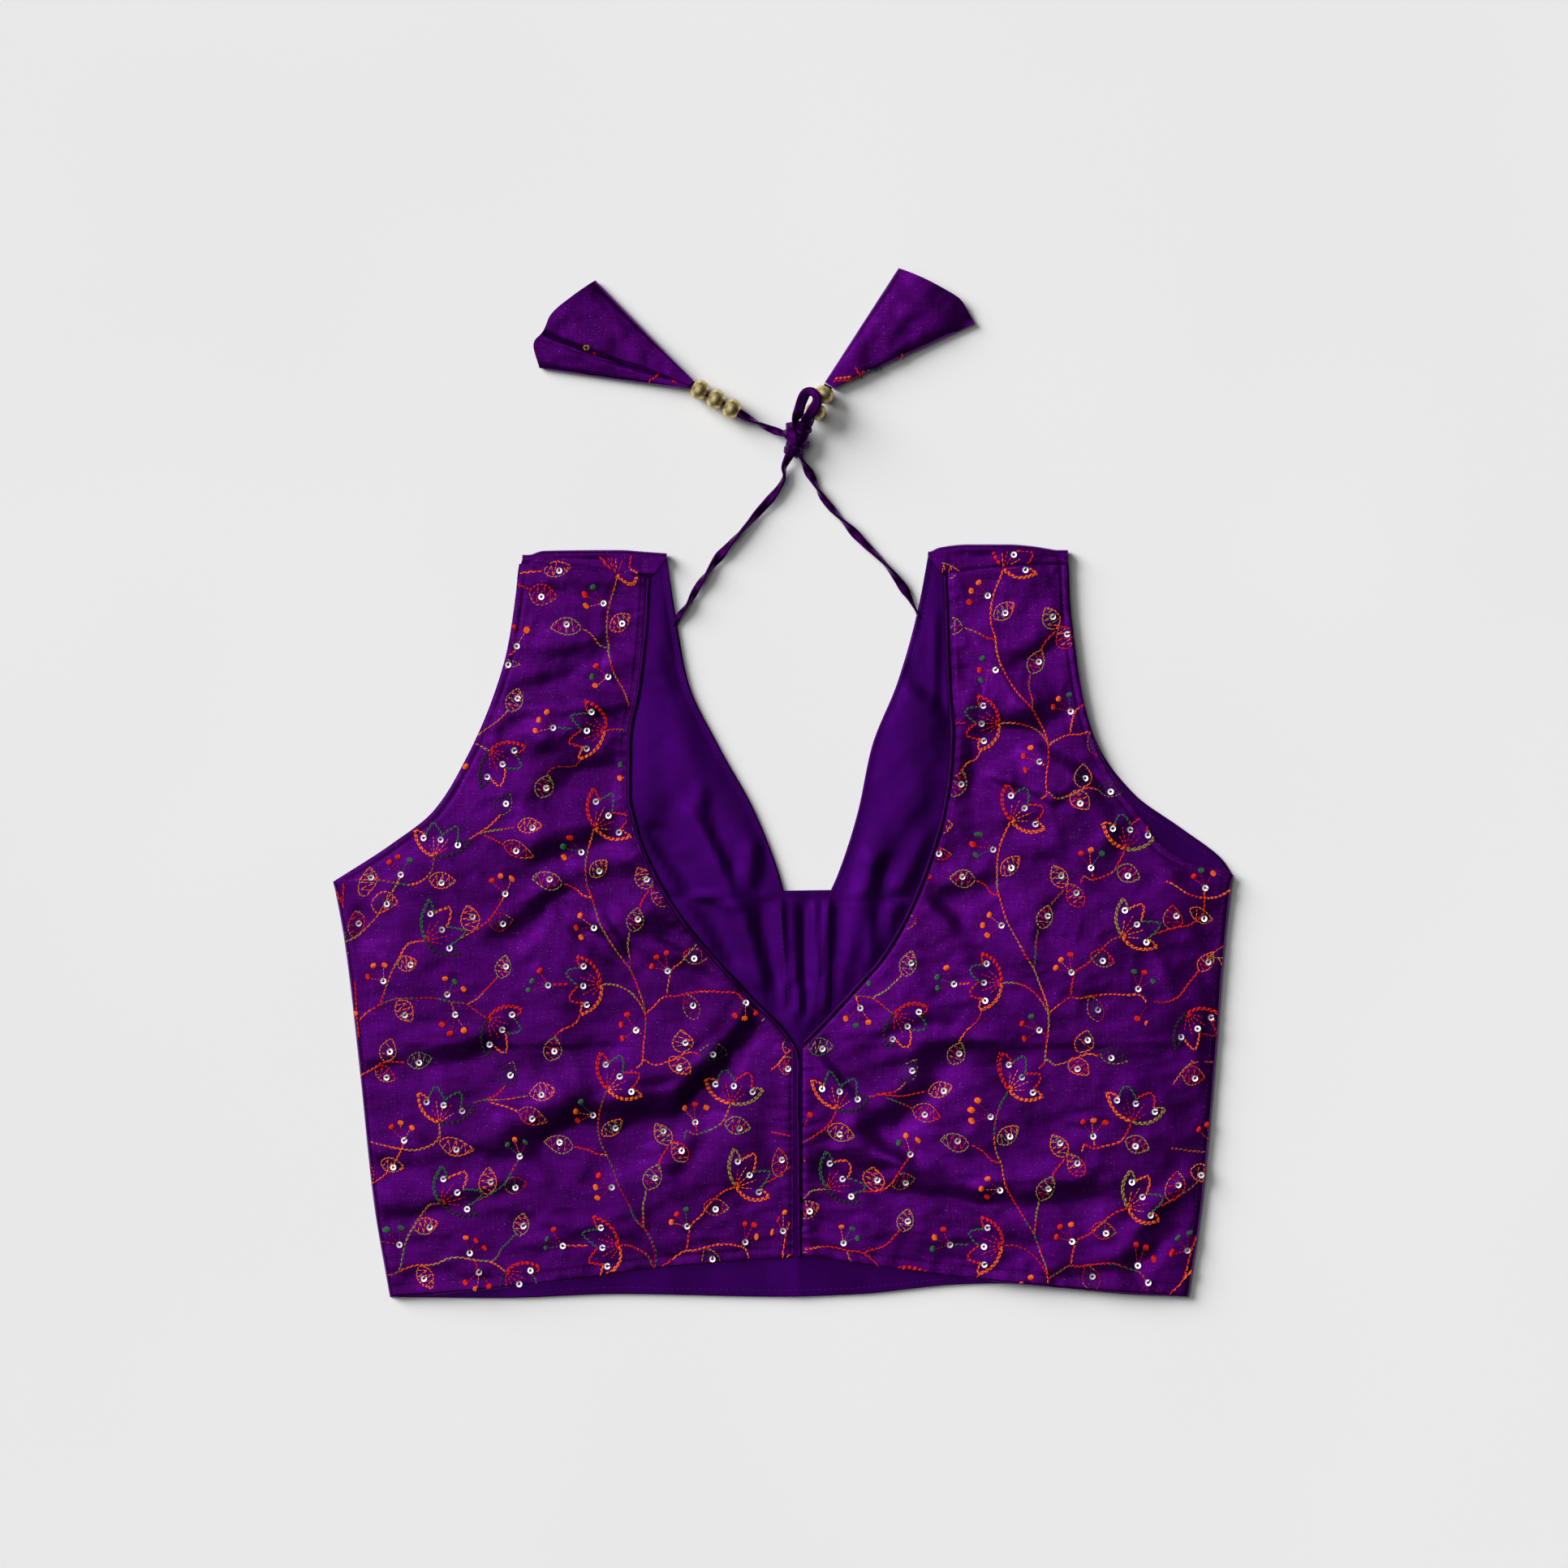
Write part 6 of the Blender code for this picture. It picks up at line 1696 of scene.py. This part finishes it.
# Columns: x, y of the foot, degrees of its three stalks
SPRIGS = (
    (186, 35, 97, 60, 20),
    (9, 37, 122, 84, 165),
    (20, 88, 133, 100, 57),
    (41, 30, 95, 58, 18),
    (45, 20, 218, 258, 302),
    (91, 35, 155, 112, 195),
    (108, 101, 125, 163, 198),
    (115, 64, 138, 180, 217),
    (152, 42, 130, 92, 165),
    (191, 27, 225, 262, 312),
    (136, 13, 120, 160, 210),
    (162, 94, 125, 88, 50),
    (70, 81, 135, 100, 55),
)
STEMS = (
    ((-3, 17), (2, 22), (7, 25), (10, 33), (14, 43), (21, 53), (26, 57), (33, 59)),
    ((7, 25), (15, 28), (23, 28), (34, 28), (44, 26), (51, 25), (61, 19)),
    ((51, 25), (57, 29), (62, 35), (67, 41)),
    ((49, 60), (55, 63), (61, 67), (65, 72), (70, 80)),
    ((-2, -10), (4, -7), (11, -3), (22, -3)),
    ((71, -12), (65, -18), (59, -21), (54, -23)),
    ((59, -21), (70, -20), (81, -19)),
    ((62, -22), (70, -25), (76, -28)),
    ((38, 98), (37, 91), (32, 86), (23, 83), (8, 85), (-2, 88)),
    ((-8, 61), (-1, 63), (7, 67), (12, 72), (17, 80), (20, 87)),
    (
        (116, 114),
        (113, 107),
        (111, 101),
        (110, 94),
        (111, 85),
        (114, 79),
        (116, 72),
        (118, 66),
        (123, 57),
        (128, 49),
        (133, 43),
        (137, 34),
        (140, 26),
        (141, 17),
        (140, 8),
        (138, -1),
        (131, -5),
    ),
    ((117, 35), (124, 35), (131, 33), (137, 28), (141, 21)),
    ((101, 35), (96, 35), (92, 35)),
    ((106, 21), (104, 17), (100, 12), (97, 7)),
    ((133, 62), (132, 55), (133, 49), (133, 43)),
    ((143, 83), (140, 79), (138, 74)),
    ((98, 86), (105, 83), (109, 80), (114, 79)),
    ((141, 21), (146, 26), (151, 30), (157, 31), (164, 33), (173, 34), (181, 33), (187, 32), (190, 28)),
    ((152, 31), (153, 38), (155, 43), (160, 46), (165, 51), (172, 57), (179, 60)),
    ((179, 102), (177, 97), (174, 92), (167, 89), (161, 88), (156, 90), (151, 86)),
    ((138, -1), (146, -2), (154, 1), (161, 5), (166, 4)),
    ((135, 13), (139, 11)),
    ((162, 94), (163, 89)),
    ((9, 37), (11, 36)),
    ((41, 30), (41, 28)),
    ((45, 20), (43, 26)),
)
# What only one place has: a flower and a leaf with their stem at the right side, and a leaf at the left
SIDE_FLOWER = (201.8, -45.5, -58, "red", "maroon", "orange", "dark", "red")
SIDE_LEAVES = ((211.2, -19.1, 60, "orange", "red"), (-205.2, 18.6, 88, "orange", "orange"))
SIDE_STEM = ((185, -39), (191, -40), (198, -37), (204, -29), (208, -24))
# Stitches that run over into the left side seam
SIDE_STITCHES = (
    ((-215.0, -30.0), (-214.2, -42.0), (-212.4, -58.0)),
    ((-221.5, 17.0), (-217.0, 13.0)),
    ((-218.0, 20.5), (-216.2, 10.5)),
)
# Where the repeat is left out for them: (x, y, radius)
LEFT_OUT = (208.0, -44.0, 26.0)
FLOWER_REACH = 18.0
SEQUIN_RADIUS = 1.55
SEQUIN_HOLE = 0.68


# How far the pulled cloth has moved the pattern. Columns: x, y in the even repeat, then the move in x and y
PULLS = (
    (-101.7, 164.8, 12.2, -4.5),
    (-94.4, 127.4, 7.3, -4.9),
    (-118.8, 98.5, 3.7, -1.2),
    (-100.9, 107.0, 5.3, -2.4),
    (-101.3, 89.5, 2.8, -2.8),
    (-113.1, 63.5, -6.1, 3.7),
    (-95.2, 59.0, -0.4, 0.8),
    (-81.8, 46.8, -0.8, -1.2),
    (-136.7, 82.6, 1.6, 4.9),
    (-142.4, 75.7, 2.0, 2.4),
    (-139.6, 108.2, 5.7, 1.6),
    (-127.4, 162.4, 6.5, 2.0),
    (-122.5, 174.6, 9.4, 0.8),
    (-119.2, 151.4, 11.8, -2.8),
    (-91.6, 156.7, 11.4, -7.3),
    (-134.7, 151.4, 6.5, -6.9),
    (-137.9, 54.9, -2.0, 2.8),
    (-121.7, 44.4, -5.3, 2.8),
    (-127.4, 31.7, -6.9, 3.7),
    (-120.0, 21.2, 2.4, 0.0),
    (-102.1, 33.8, 0.8, 0.8),
    (-140.4, 13.8, 0.8, 0.0),
    (100.1, 164.4, 2.8, -1.2),
    (109.5, 155.8, 1.6, -0.8),
    (86.5, 150.1, 0.8, -2.2),
    (107.1, 127.2, -0.8, -1.4),
    (129.6, 132.1, -1.2, -1.4),
    (133.1, 152.3, 2.4, -0.4),
    (100.3, 106.6, -0.4, 0.6),
    (99.6, 97.3, -1.8, 1.2),
    (101.1, 89.1, 1.8, 1.2),
    (89.3, 64.4, 0.0, 4.9),
    (128.2, 76.1, 0.0, 4.1),
    (149.6, 60.5, -2.0, -0.4),
    (163.4, 66.6, 0.9, -1.4),
    (152.3, 75.4, -0.8, -1.7),
    (107.4, 59.0, 5.2, 3.6),
    (114.3, 54.2, 7.2, 4.1),
    (120.4, 46.9, 5.4, 2.0),
    (83.2, 45.6, -2.0, 2.5),
    (99.9, 33.7, 5.3, 2.2),
    (132.7, 23.0, 6.2, 1.0),
    (140.4, 14.3, 6.9, 0.0),
    (81.7, 20.8, 7.2, 1.7),
    (154.4, 26.7, -0.5, 0.0),
    (174.3, 22.8, -1.4, -0.2),
    (172.4, 44.1, 1.4, 1.9),
    (129.5, 0.7, 3.0, 1.5),
    (107.0, -3.5, 2.2, 1.3),
    (173.4, 4.7, -1.8, 0.6),
    (183.3, -10.2, -1.9, -1.2),
    (-190.5, 20.8, -1.5, 2.7),
    (-169.6, 18.4, -3.0, 1.8),
    (-209.4, 1.5, -4.4, -5.2),
    (-197.4, 5.9, -2.2, 4.7),
    (-175.0, 4.1, -2.2, -0.3),
    (-165.6, -11.6, -2.2, -2.2),
    (-156.2, 1.7, 0.8, 0.0),
    (-201.4, -30.5, 0.8, 0.5),
    (-169.5, -37.7, 0.8, 0.9),
    (-139.2, -20.7, 0.0, -1.7),
    (-142.3, -54.5, 1.8, -1.2),
    (-137.0, -47.6, 0.2, 1.8),
    (-113.8, -67.7, -1.8, 2.7),
    (-180.2, -70.1, -1.1, -0.4),
    (-136.8, -74.0, 0.3, -2.7),
    (-178.7, -89.2, -0.3, -1.5),
    (-128.7, -98.4, 1.5, 0.0),
    (-190.3, -109.9, 0.0, 0.0),
    (-118.1, -110.0, 7.5, -1.3),
    (-140.2, -117.3, 8.2, -0.9),
    (-197.4, -124.9, 1.1, 1.7),
    (-175.3, -126.6, 4.6, -2.7),
    (-165.4, -142.0, 6.4, -2.9),
    (-156.7, -128.5, 10.5, -1.0),
    (-140.7, -132.2, 7.4, -2.0),
    (-188.0, -152.9, 9.5, -1.0),
    (-138.9, -151.5, 9.2, 0.0),
    (-169.3, -168.0, 11.7, 1.5),
    (-165.3, -178.3, 13.5, 2.7),
    (-191.6, -175.4, 11.0, -3.0),
    (-136.9, -179.2, 10.2, 4.0),
    (-94.9, -3.1, 0.0, 0.0),
    (-72.7, 1.1, 0.0, 0.0),
    (-101.8, -23.8, 1.5, 1.4),
    (-101.2, -42.0, 2.7, 0.0),
    (-57.9, -25.3, 0.0, 0.6),
    (-42.0, -19.4, -2.6, 0.6),
    (-44.2, -39.5, -1.5, -2.3),
    (-73.7, -54.4, 0.0, 0.0),
    (-49.6, -55.5, -0.2, -4.7),
    (-52.0, -70.8, -1.0, -2.8),
    (-39.7, -62.9, 4.5, -1.9),
    (-95.3, -71.5, 4.9, -0.7),
    (-88.1, -76.5, 6.7, 0.0),
    (-81.7, -83.3, 5.1, -1.9),
    (-101.9, -96.6, 6.3, -1.1),
    (-37.0, -85.3, 3.2, 3.0),
    (-28.5, -86.8, 4.8, 5.4),
    (-19.8, -90.5, 5.0, 3.1),
    (-47.8, -103.8, 3.3, 3.0),
    (-28.0, -108.1, 5.1, 4.4),
    (-69.4, -107.3, 9.5, 1.8),
    (-61.5, -117.2, 10.9, 2.9),
    (-93.0, -105.7, 7.9, 1.8),
    (-95.1, -134.2, 9.1, 0.6),
    (-72.6, -129.0, 8.6, 1.3),
    (-30.2, -125.9, 5.9, 5.8),
    (-23.9, -131.8, 8.2, 5.0),
    (-18.5, -139.4, 5.1, 2.8),
    (-7.6, -129.7, 6.9, 9.4),
    (-41.7, -150.0, 8.3, 5.9),
    (-57.8, -156.2, 10.0, 3.1),
    (-100.6, -153.7, 10.3, 1.0),
    (-102.1, -171.6, 13.2, -0.6),
    (-44.4, -169.8, 8.6, 1.2),
    (64.6, -20.4, 0.9, 0.0),
    (37.0, -47.5, 1.7, 4.1),
    (65.8, -48.3, 2.1, 4.0),
    (60.1, -55.2, 3.2, 0.5),
    (52.4, -60.8, 1.3, 2.6),
    (83.9, -32.3, 2.7, 0.9),
    (101.9, -23.2, 0.9, 1.9),
    (100.7, -33.1, -0.4, 1.7),
    (101.6, -41.7, 2.2, 0.9),
    (89.3, -65.2, -1.0, 0.0),
    (21.3, -70.4, -2.2, 6.7),
    (22.7, -89.8, -3.3, 6.1),
    (31.3, -90.5, -2.2, 6.5),
    (40.4, -93.3, -3.3, 1.7),
    (65.6, -73.6, -1.1, -1.2),
    (79.3, -86.8, -0.9, 1.1),
    (74.7, -99.0, -3.9, 1.8),
    (100.4, -97.2, 3.9, -0.9),
    (32.8, -112.8, -5.7, 6.6),
    (62.1, -117.1, 2.0, 0.0),
    (82.4, -110.3, 4.8, -0.3),
    (110.8, -105.1, 3.8, -3.1),
    (28.0, -126.8, -4.9, 5.5),
    (33.0, -134.2, -1.7, 5.2),
    (36.5, -142.9, -4.4, 3.6),
    (44.8, -128.5, 3.0, -3.6),
    (60.6, -133.0, -0.7, 1.1),
    (63.0, -152.5, -0.5, 2.1),
    (14.4, -152.7, -1.5, 7.6),
    (32.9, -168.2, -2.8, 7.0),
    (83.2, -163.2, 0.5, 0.9),
    (100.8, -154.0, 1.7, 0.5),
    (100.7, -172.0, 0.0, 0.0),
    (145.7, -25.2, 0.0, 0.0),
    (158.0, -39.6, -0.9, -3.6),
    (128.4, -54.5, 0.0, 0.0),
    (152.4, -56.9, 0.0, -4.2),
    (163.6, -64.5, 2.7, -4.8),
    (150.6, -71.5, -3.8, -3.4),
    (120.4, -83.7, 3.8, -2.4),
    (114.3, -76.3, 6.1, -0.6),
    (165.0, -85.7, 3.0, -4.2),
    (182.4, -90.2, 4.5, -6.0),
    (154.8, -104.3, 0.6, -4.0),
    (173.6, -108.0, 3.5, -5.5),
    (132.6, -107.2, 6.2, -3.6),
    (140.3, -116.9, 7.3, -4.4),
    (129.4, -129.2, 3.4, -4.4),
    (172.7, -125.9, 1.2, -4.6),
    (178.6, -131.8, 2.7, -5.9),
    (183.6, -139.6, -1.3, -8.7),
    (194.6, -129.2, 3.9, -2.8),
    (160.6, -150.1, 0.5, -6.6),
    (144.4, -156.2, 0.5, -4.4),
    (158.1, -170.6, -3.3, -8.1),
    (183.3, -170.8, -0.4, -10.5),
    (213.7, 20.7, -2.8, -4.1),
    (205.6, 5.7, 3.6, -5.5),
    (193.8, 2.7, 2.2, 1.6),
)
PULL_REACH = 11.0
PULL_HOLD = 0.03


def pulled(places):
    """Places of the even repeat moved as the cloth is pulled."""
    places = np.asarray(places, float)
    table = np.array(PULLS)
    away = np.linalg.norm(places[:, None] - table[None, :, :2], axis=2)
    weight = 1 / (1 + (away / PULL_REACH) ** 6)
    moves = (weight[:, :, None] * table[None, :, 2:]).sum(axis=1)
    return places + moves / (weight.sum(axis=1) + PULL_HOLD)[:, None]


def embroider():
    """The whole chart, stepped over the blouse."""
    pen = Pen(77)
    for across_by, up_by in REPEATS:
        origin = np.add(REPEAT_FROM, np.multiply(REPEAT, (across_by, up_by)))
        for points in STEMS:
            pen.stem(np.add(points, origin))
        for draw, rows in ((pen.flower, FLOWERS), (pen.leaf, LEAVES), (pen.sprig, SPRIGS)):
            for x, y, *rest in rows:
                draw(x + origin[0], y + origin[1], *rest)
    x, y, radius = LEFT_OUT
    pen.stitches = [row for row in pen.stitches if math.hypot(row[0] - x, row[1] - y) > radius]
    pen.sequins = [spot for spot in pen.sequins if math.hypot(spot[0] - x, spot[1] - y) > radius]
    pen.stem(SIDE_STEM)
    pen.flower(*SIDE_FLOWER)
    for leaf in SIDE_LEAVES:
        pen.leaf(*leaf)
    for points in SIDE_STITCHES:
        pen.line(points, "red", 0.6, 2.4, 0.15, (0.0, 0.4))
    rows, spots = np.array(pen.stitches, float), np.array(pen.sequins, float)
    rows[:, 0:2], rows[:, 2:4] = pulled(rows[:, 0:2]), pulled(rows[:, 2:4])
    return rows, pulled(spots)


def within(side, x, y, margin):
    """Whether places lie on a front, so far in from its edges."""
    return np.min(from_edges(side, x, y), axis=0) > margin


def on_band(x, y, margin):
    """Whether places lie on a strap above the shoulder seam."""
    edges = np.minimum(x - outer_left(y), read(FRONT_NECK_LEFT, y) - x)
    edges = np.where(x > 0, np.minimum(outer_right(y) - x, x - read(FRONT_NECK_RIGHT, y)), edges)
    return np.min([edges, y - seam_y(x), shoulder_y(x) - 2.6 - y], axis=0) > margin


def sequin_mesh(name, spots, surface, seed):
    """Sequins as small cupped rings, each a little tilted."""
    chance = np.random.default_rng(seed)
    sides = 16
    angles = 2 * math.pi * np.arange(sides) / sides
    middle = (SEQUIN_HOLE + SEQUIN_RADIUS) / 2
    profile = (
        (SEQUIN_HOLE, 0.12),
        (SEQUIN_HOLE + 0.08, 0.3),
        (middle, 0.26),
        (SEQUIN_RADIUS, 0.5),
        (SEQUIN_RADIUS, 0.34),
        (middle, 0.08),
    )
    points, faces = [], []
    count = len(profile)
    height = surface(spots[:, 0], spots[:, 1])
    for k, ((x, y), z) in enumerate(zip(spots, height)):
        tilt, towards = chance.uniform(0, 0.4), chance.uniform(0, 2 * math.pi)
        for angle in angles:
            for radius, up in profile:
                lean = radius * tilt * math.cos(angle - towards)
                points.append((x + radius * math.cos(angle), y + radius * math.sin(angle), z + up + 0.2 + 0.5 * tilt + lean))
        base = k * sides * count
        for s in range(sides):
            following = (s + 1) % sides
            for p in range(count):
                q = (p + 1) % count
                faces.append(
                    (
                        base + s * count + p,
                        base + s * count + q,
                        base + following * count + q,
                        base + following * count + p,
                    )
                )
    return place(mesh_object(name, points, faces, [PEARL], sharp_angle=50))


def tacks(spots, seed):
    """The dark stitch that holds each sequin, from its hole over its rim."""
    chance = np.random.default_rng(seed)
    angles = chance.normal(0.9, 0.7, len(spots))
    way = np.column_stack([np.cos(angles), np.sin(angles)])
    colours = chance.choice([THREADS.index("dark"), THREADS.index("olive"), THREADS.index("maroon")], len(spots))
    widths = np.full(len(spots), 0.62)
    return np.column_stack([spots - 0.2 * way, spots + (SEQUIN_RADIUS + 0.25) * way, widths, colours])


STITCHES, SEQUINS = embroider()
EXTRAS = {"left": [], "right": []}
for side in ("left", "right"):
    def surface(x, y, side=side):
        return front_top(side, x, y)

    middle = (STITCHES[:, 0:2] + STITCHES[:, 2:4]) / 2
    sign = -1 if side == "left" else 1
    here = (sign * (middle[:, 0] - 7.5) > 0) & within(side, middle[:, 0], middle[:, 1], 0.9)
    EXTRAS[side].append(stitch_mesh(f"embroidery_{side}", STITCHES[here], surface))
    here = (sign * (SEQUINS[:, 0] - 7.5) > 0) & within(side, SEQUINS[:, 0], SEQUINS[:, 1], 1.2)
    EXTRAS[side].append(sequin_mesh(f"sequins_{side}", SEQUINS[here], surface, 61))
    EXTRAS[side].append(stitch_mesh(f"sequin_threads_{side}", tacks(SEQUINS[here], 64), lambda x, y: surface(x, y) + 0.55))

middle = (STITCHES[:, 0:2] + STITCHES[:, 2:4]) / 2
BAND_EXTRAS = [
    stitch_mesh("embroidery_shoulders", STITCHES[on_band(middle[:, 0], middle[:, 1], 0.5)], band_top),
    sequin_mesh("sequins_shoulders", SEQUINS[on_band(SEQUINS[:, 0], SEQUINS[:, 1], 1.7)], band_top, 62),
]


def topstitch(side):
    """The sewing machine's stitches along a front's edges."""
    pen = Pen(90)
    (inner, _), (outer, _) = SEAMS[side]
    low = float(np.interp(-178.0, outer.y, outer.run))
    places = np.linspace(low, outer.run[-1] - 2.0, 160)
    pen.line(np.column_stack(outer.at(TOPSTITCH_IN, places)), "violet", 0.42, 2.6, 0.7)
    low = float(np.interp(-164.0, inner.y, inner.run))
    places = np.linspace(low, inner.run[-1] - 1.0, 160)
    pen.line(np.column_stack(inner.at(1.5, places)), "violet", 0.36, 2.6, 0.8)
    xs = np.linspace(-190, 4, 60) if side == "left" else np.linspace(12, 196, 60)
    pen.line(np.column_stack([xs, read(HEMS[side], xs) + HEM_STITCH_IN]), "violet", 0.42, 2.8, 0.7)
    rows = np.array(pen.stitches, float)
    middle = (rows[:, 0:2] + rows[:, 2:4]) / 2
    return rows[within(side, middle[:, 0], middle[:, 1], 0.6)]


for side in ("left", "right"):
    def surface(x, y, side=side):
        return front_top(side, x, y) - 0.02

    EXTRAS[side].append(stitch_mesh(f"topstitch_{side}", topstitch(side), surface))


def lining_stitches():
    """Sewing on the lining: round the back neck, down the two darts and along the hem."""
    pen = Pen(91)
    for table, inward in ((BACK_NECK_LEFT, -1), (BACK_NECK_RIGHT, 1)):
        edge = Edge(lambda y, table=table: read(table, y), 14.0, 178.0, inward)
        pen.line(np.column_stack(edge.at(3.0, np.linspace(1, edge.run[-1] - 1, 80))), "violet", 0.4, 2.6, 0.8)
    pen.line([(-2.0, 10.0), (0.2, -14.0), (3.6, -46.0)], "violet", 0.4, 2.4, 0.7)
    pen.line([(22.0, 10.0), (19.6, -14.0), (14.4, -44.0)], "violet", 0.4, 2.4, 0.7)
    xs = np.linspace(-190, 196, 120)
    pen.line(np.column_stack([xs, read(BACK_HEM, xs) + 3.4]), "violet", 0.4, 2.8, 0.8)
    edge = Edge(outer_right, 26.0, 80.0, -1)
    pen.line(np.column_stack(edge.at(3.4, np.linspace(1, edge.run[-1] - 1, 40))), "violet", 0.4, 2.4, 0.8)
    return np.array(pen.stitches, float)


def lining_surface(x, y):
    return lining_top(x, y) + lining_relief(x, y) - 0.02


LINING_STITCHES = stitch_mesh("stitches_lining", lining_stitches(), lining_surface)


SUN_FROM = (-0.78, 0.49, 0.42)
SUN_ENERGY = 5.6
SUN_ANGLE = 36.0
# The soft light. Columns: how near a direction is to its middle, brightness
SOFTBOX_STOPS = ((0.72, 0.01), (0.93, 0.8), (0.985, 0.8), (0.995, 2.4))
SOFTBOX_FROM = (-0.42, 0.26, 0.87)


def studio():
    """A pale floor, a wide low sun from the upper left for the shadows and a soft light overhead."""
    half = 3.0
    corners = [(-half, -half, 0), (half, -half, 0), (half, half, 0), (-half, half, 0)]
    floor = mesh_object("floor", np.array(corners) / MM, [(0, 1, 2, 3)], [floor_finish()])
    data = bpy.data.lights.new("key", "SUN")
    data.energy = SUN_ENERGY
    data.angle = math.radians(SUN_ANGLE)
    sun = bpy.data.objects.new("key", data)
    level = math.hypot(SUN_FROM[0], SUN_FROM[1])
    turn = math.atan2(SUN_FROM[1], SUN_FROM[0]) + math.pi / 2
    sun.rotation_euler = (math.atan2(level, SUN_FROM[2]), 0, turn)
    sun.visible_glossy = False
    bpy.context.scene.collection.objects.link(sun)
    world = bpy.data.worlds.new("studio")
    bpy.context.scene.world = world
    world.use_nodes = True
    tree = world.node_tree
    direction = tree.nodes.new("ShaderNodeTexCoord").outputs["Generated"]
    facing = tree.nodes.new("ShaderNodeVectorMath")
    facing.operation = "DOT_PRODUCT"
    facing.inputs[1].default_value = SOFTBOX_FROM
    tree.links.new(direction, facing.inputs[0])
    shade = tree.nodes.new("ShaderNodeValToRGB")
    elements = shade.color_ramp.elements
    for k, (at, bright) in enumerate(SOFTBOX_STOPS):
        element = elements[k] if k < 2 else elements.new(at)
        element.position = at
        element.color = (bright, bright, bright, 1.0)
    tree.links.new(facing.outputs["Value"], shade.inputs["Fac"])
    tree.links.new(shade.outputs["Color"], tree.nodes["Background"].inputs["Color"])
    bpy.context.scene.view_settings.view_transform = "Standard"


studio()
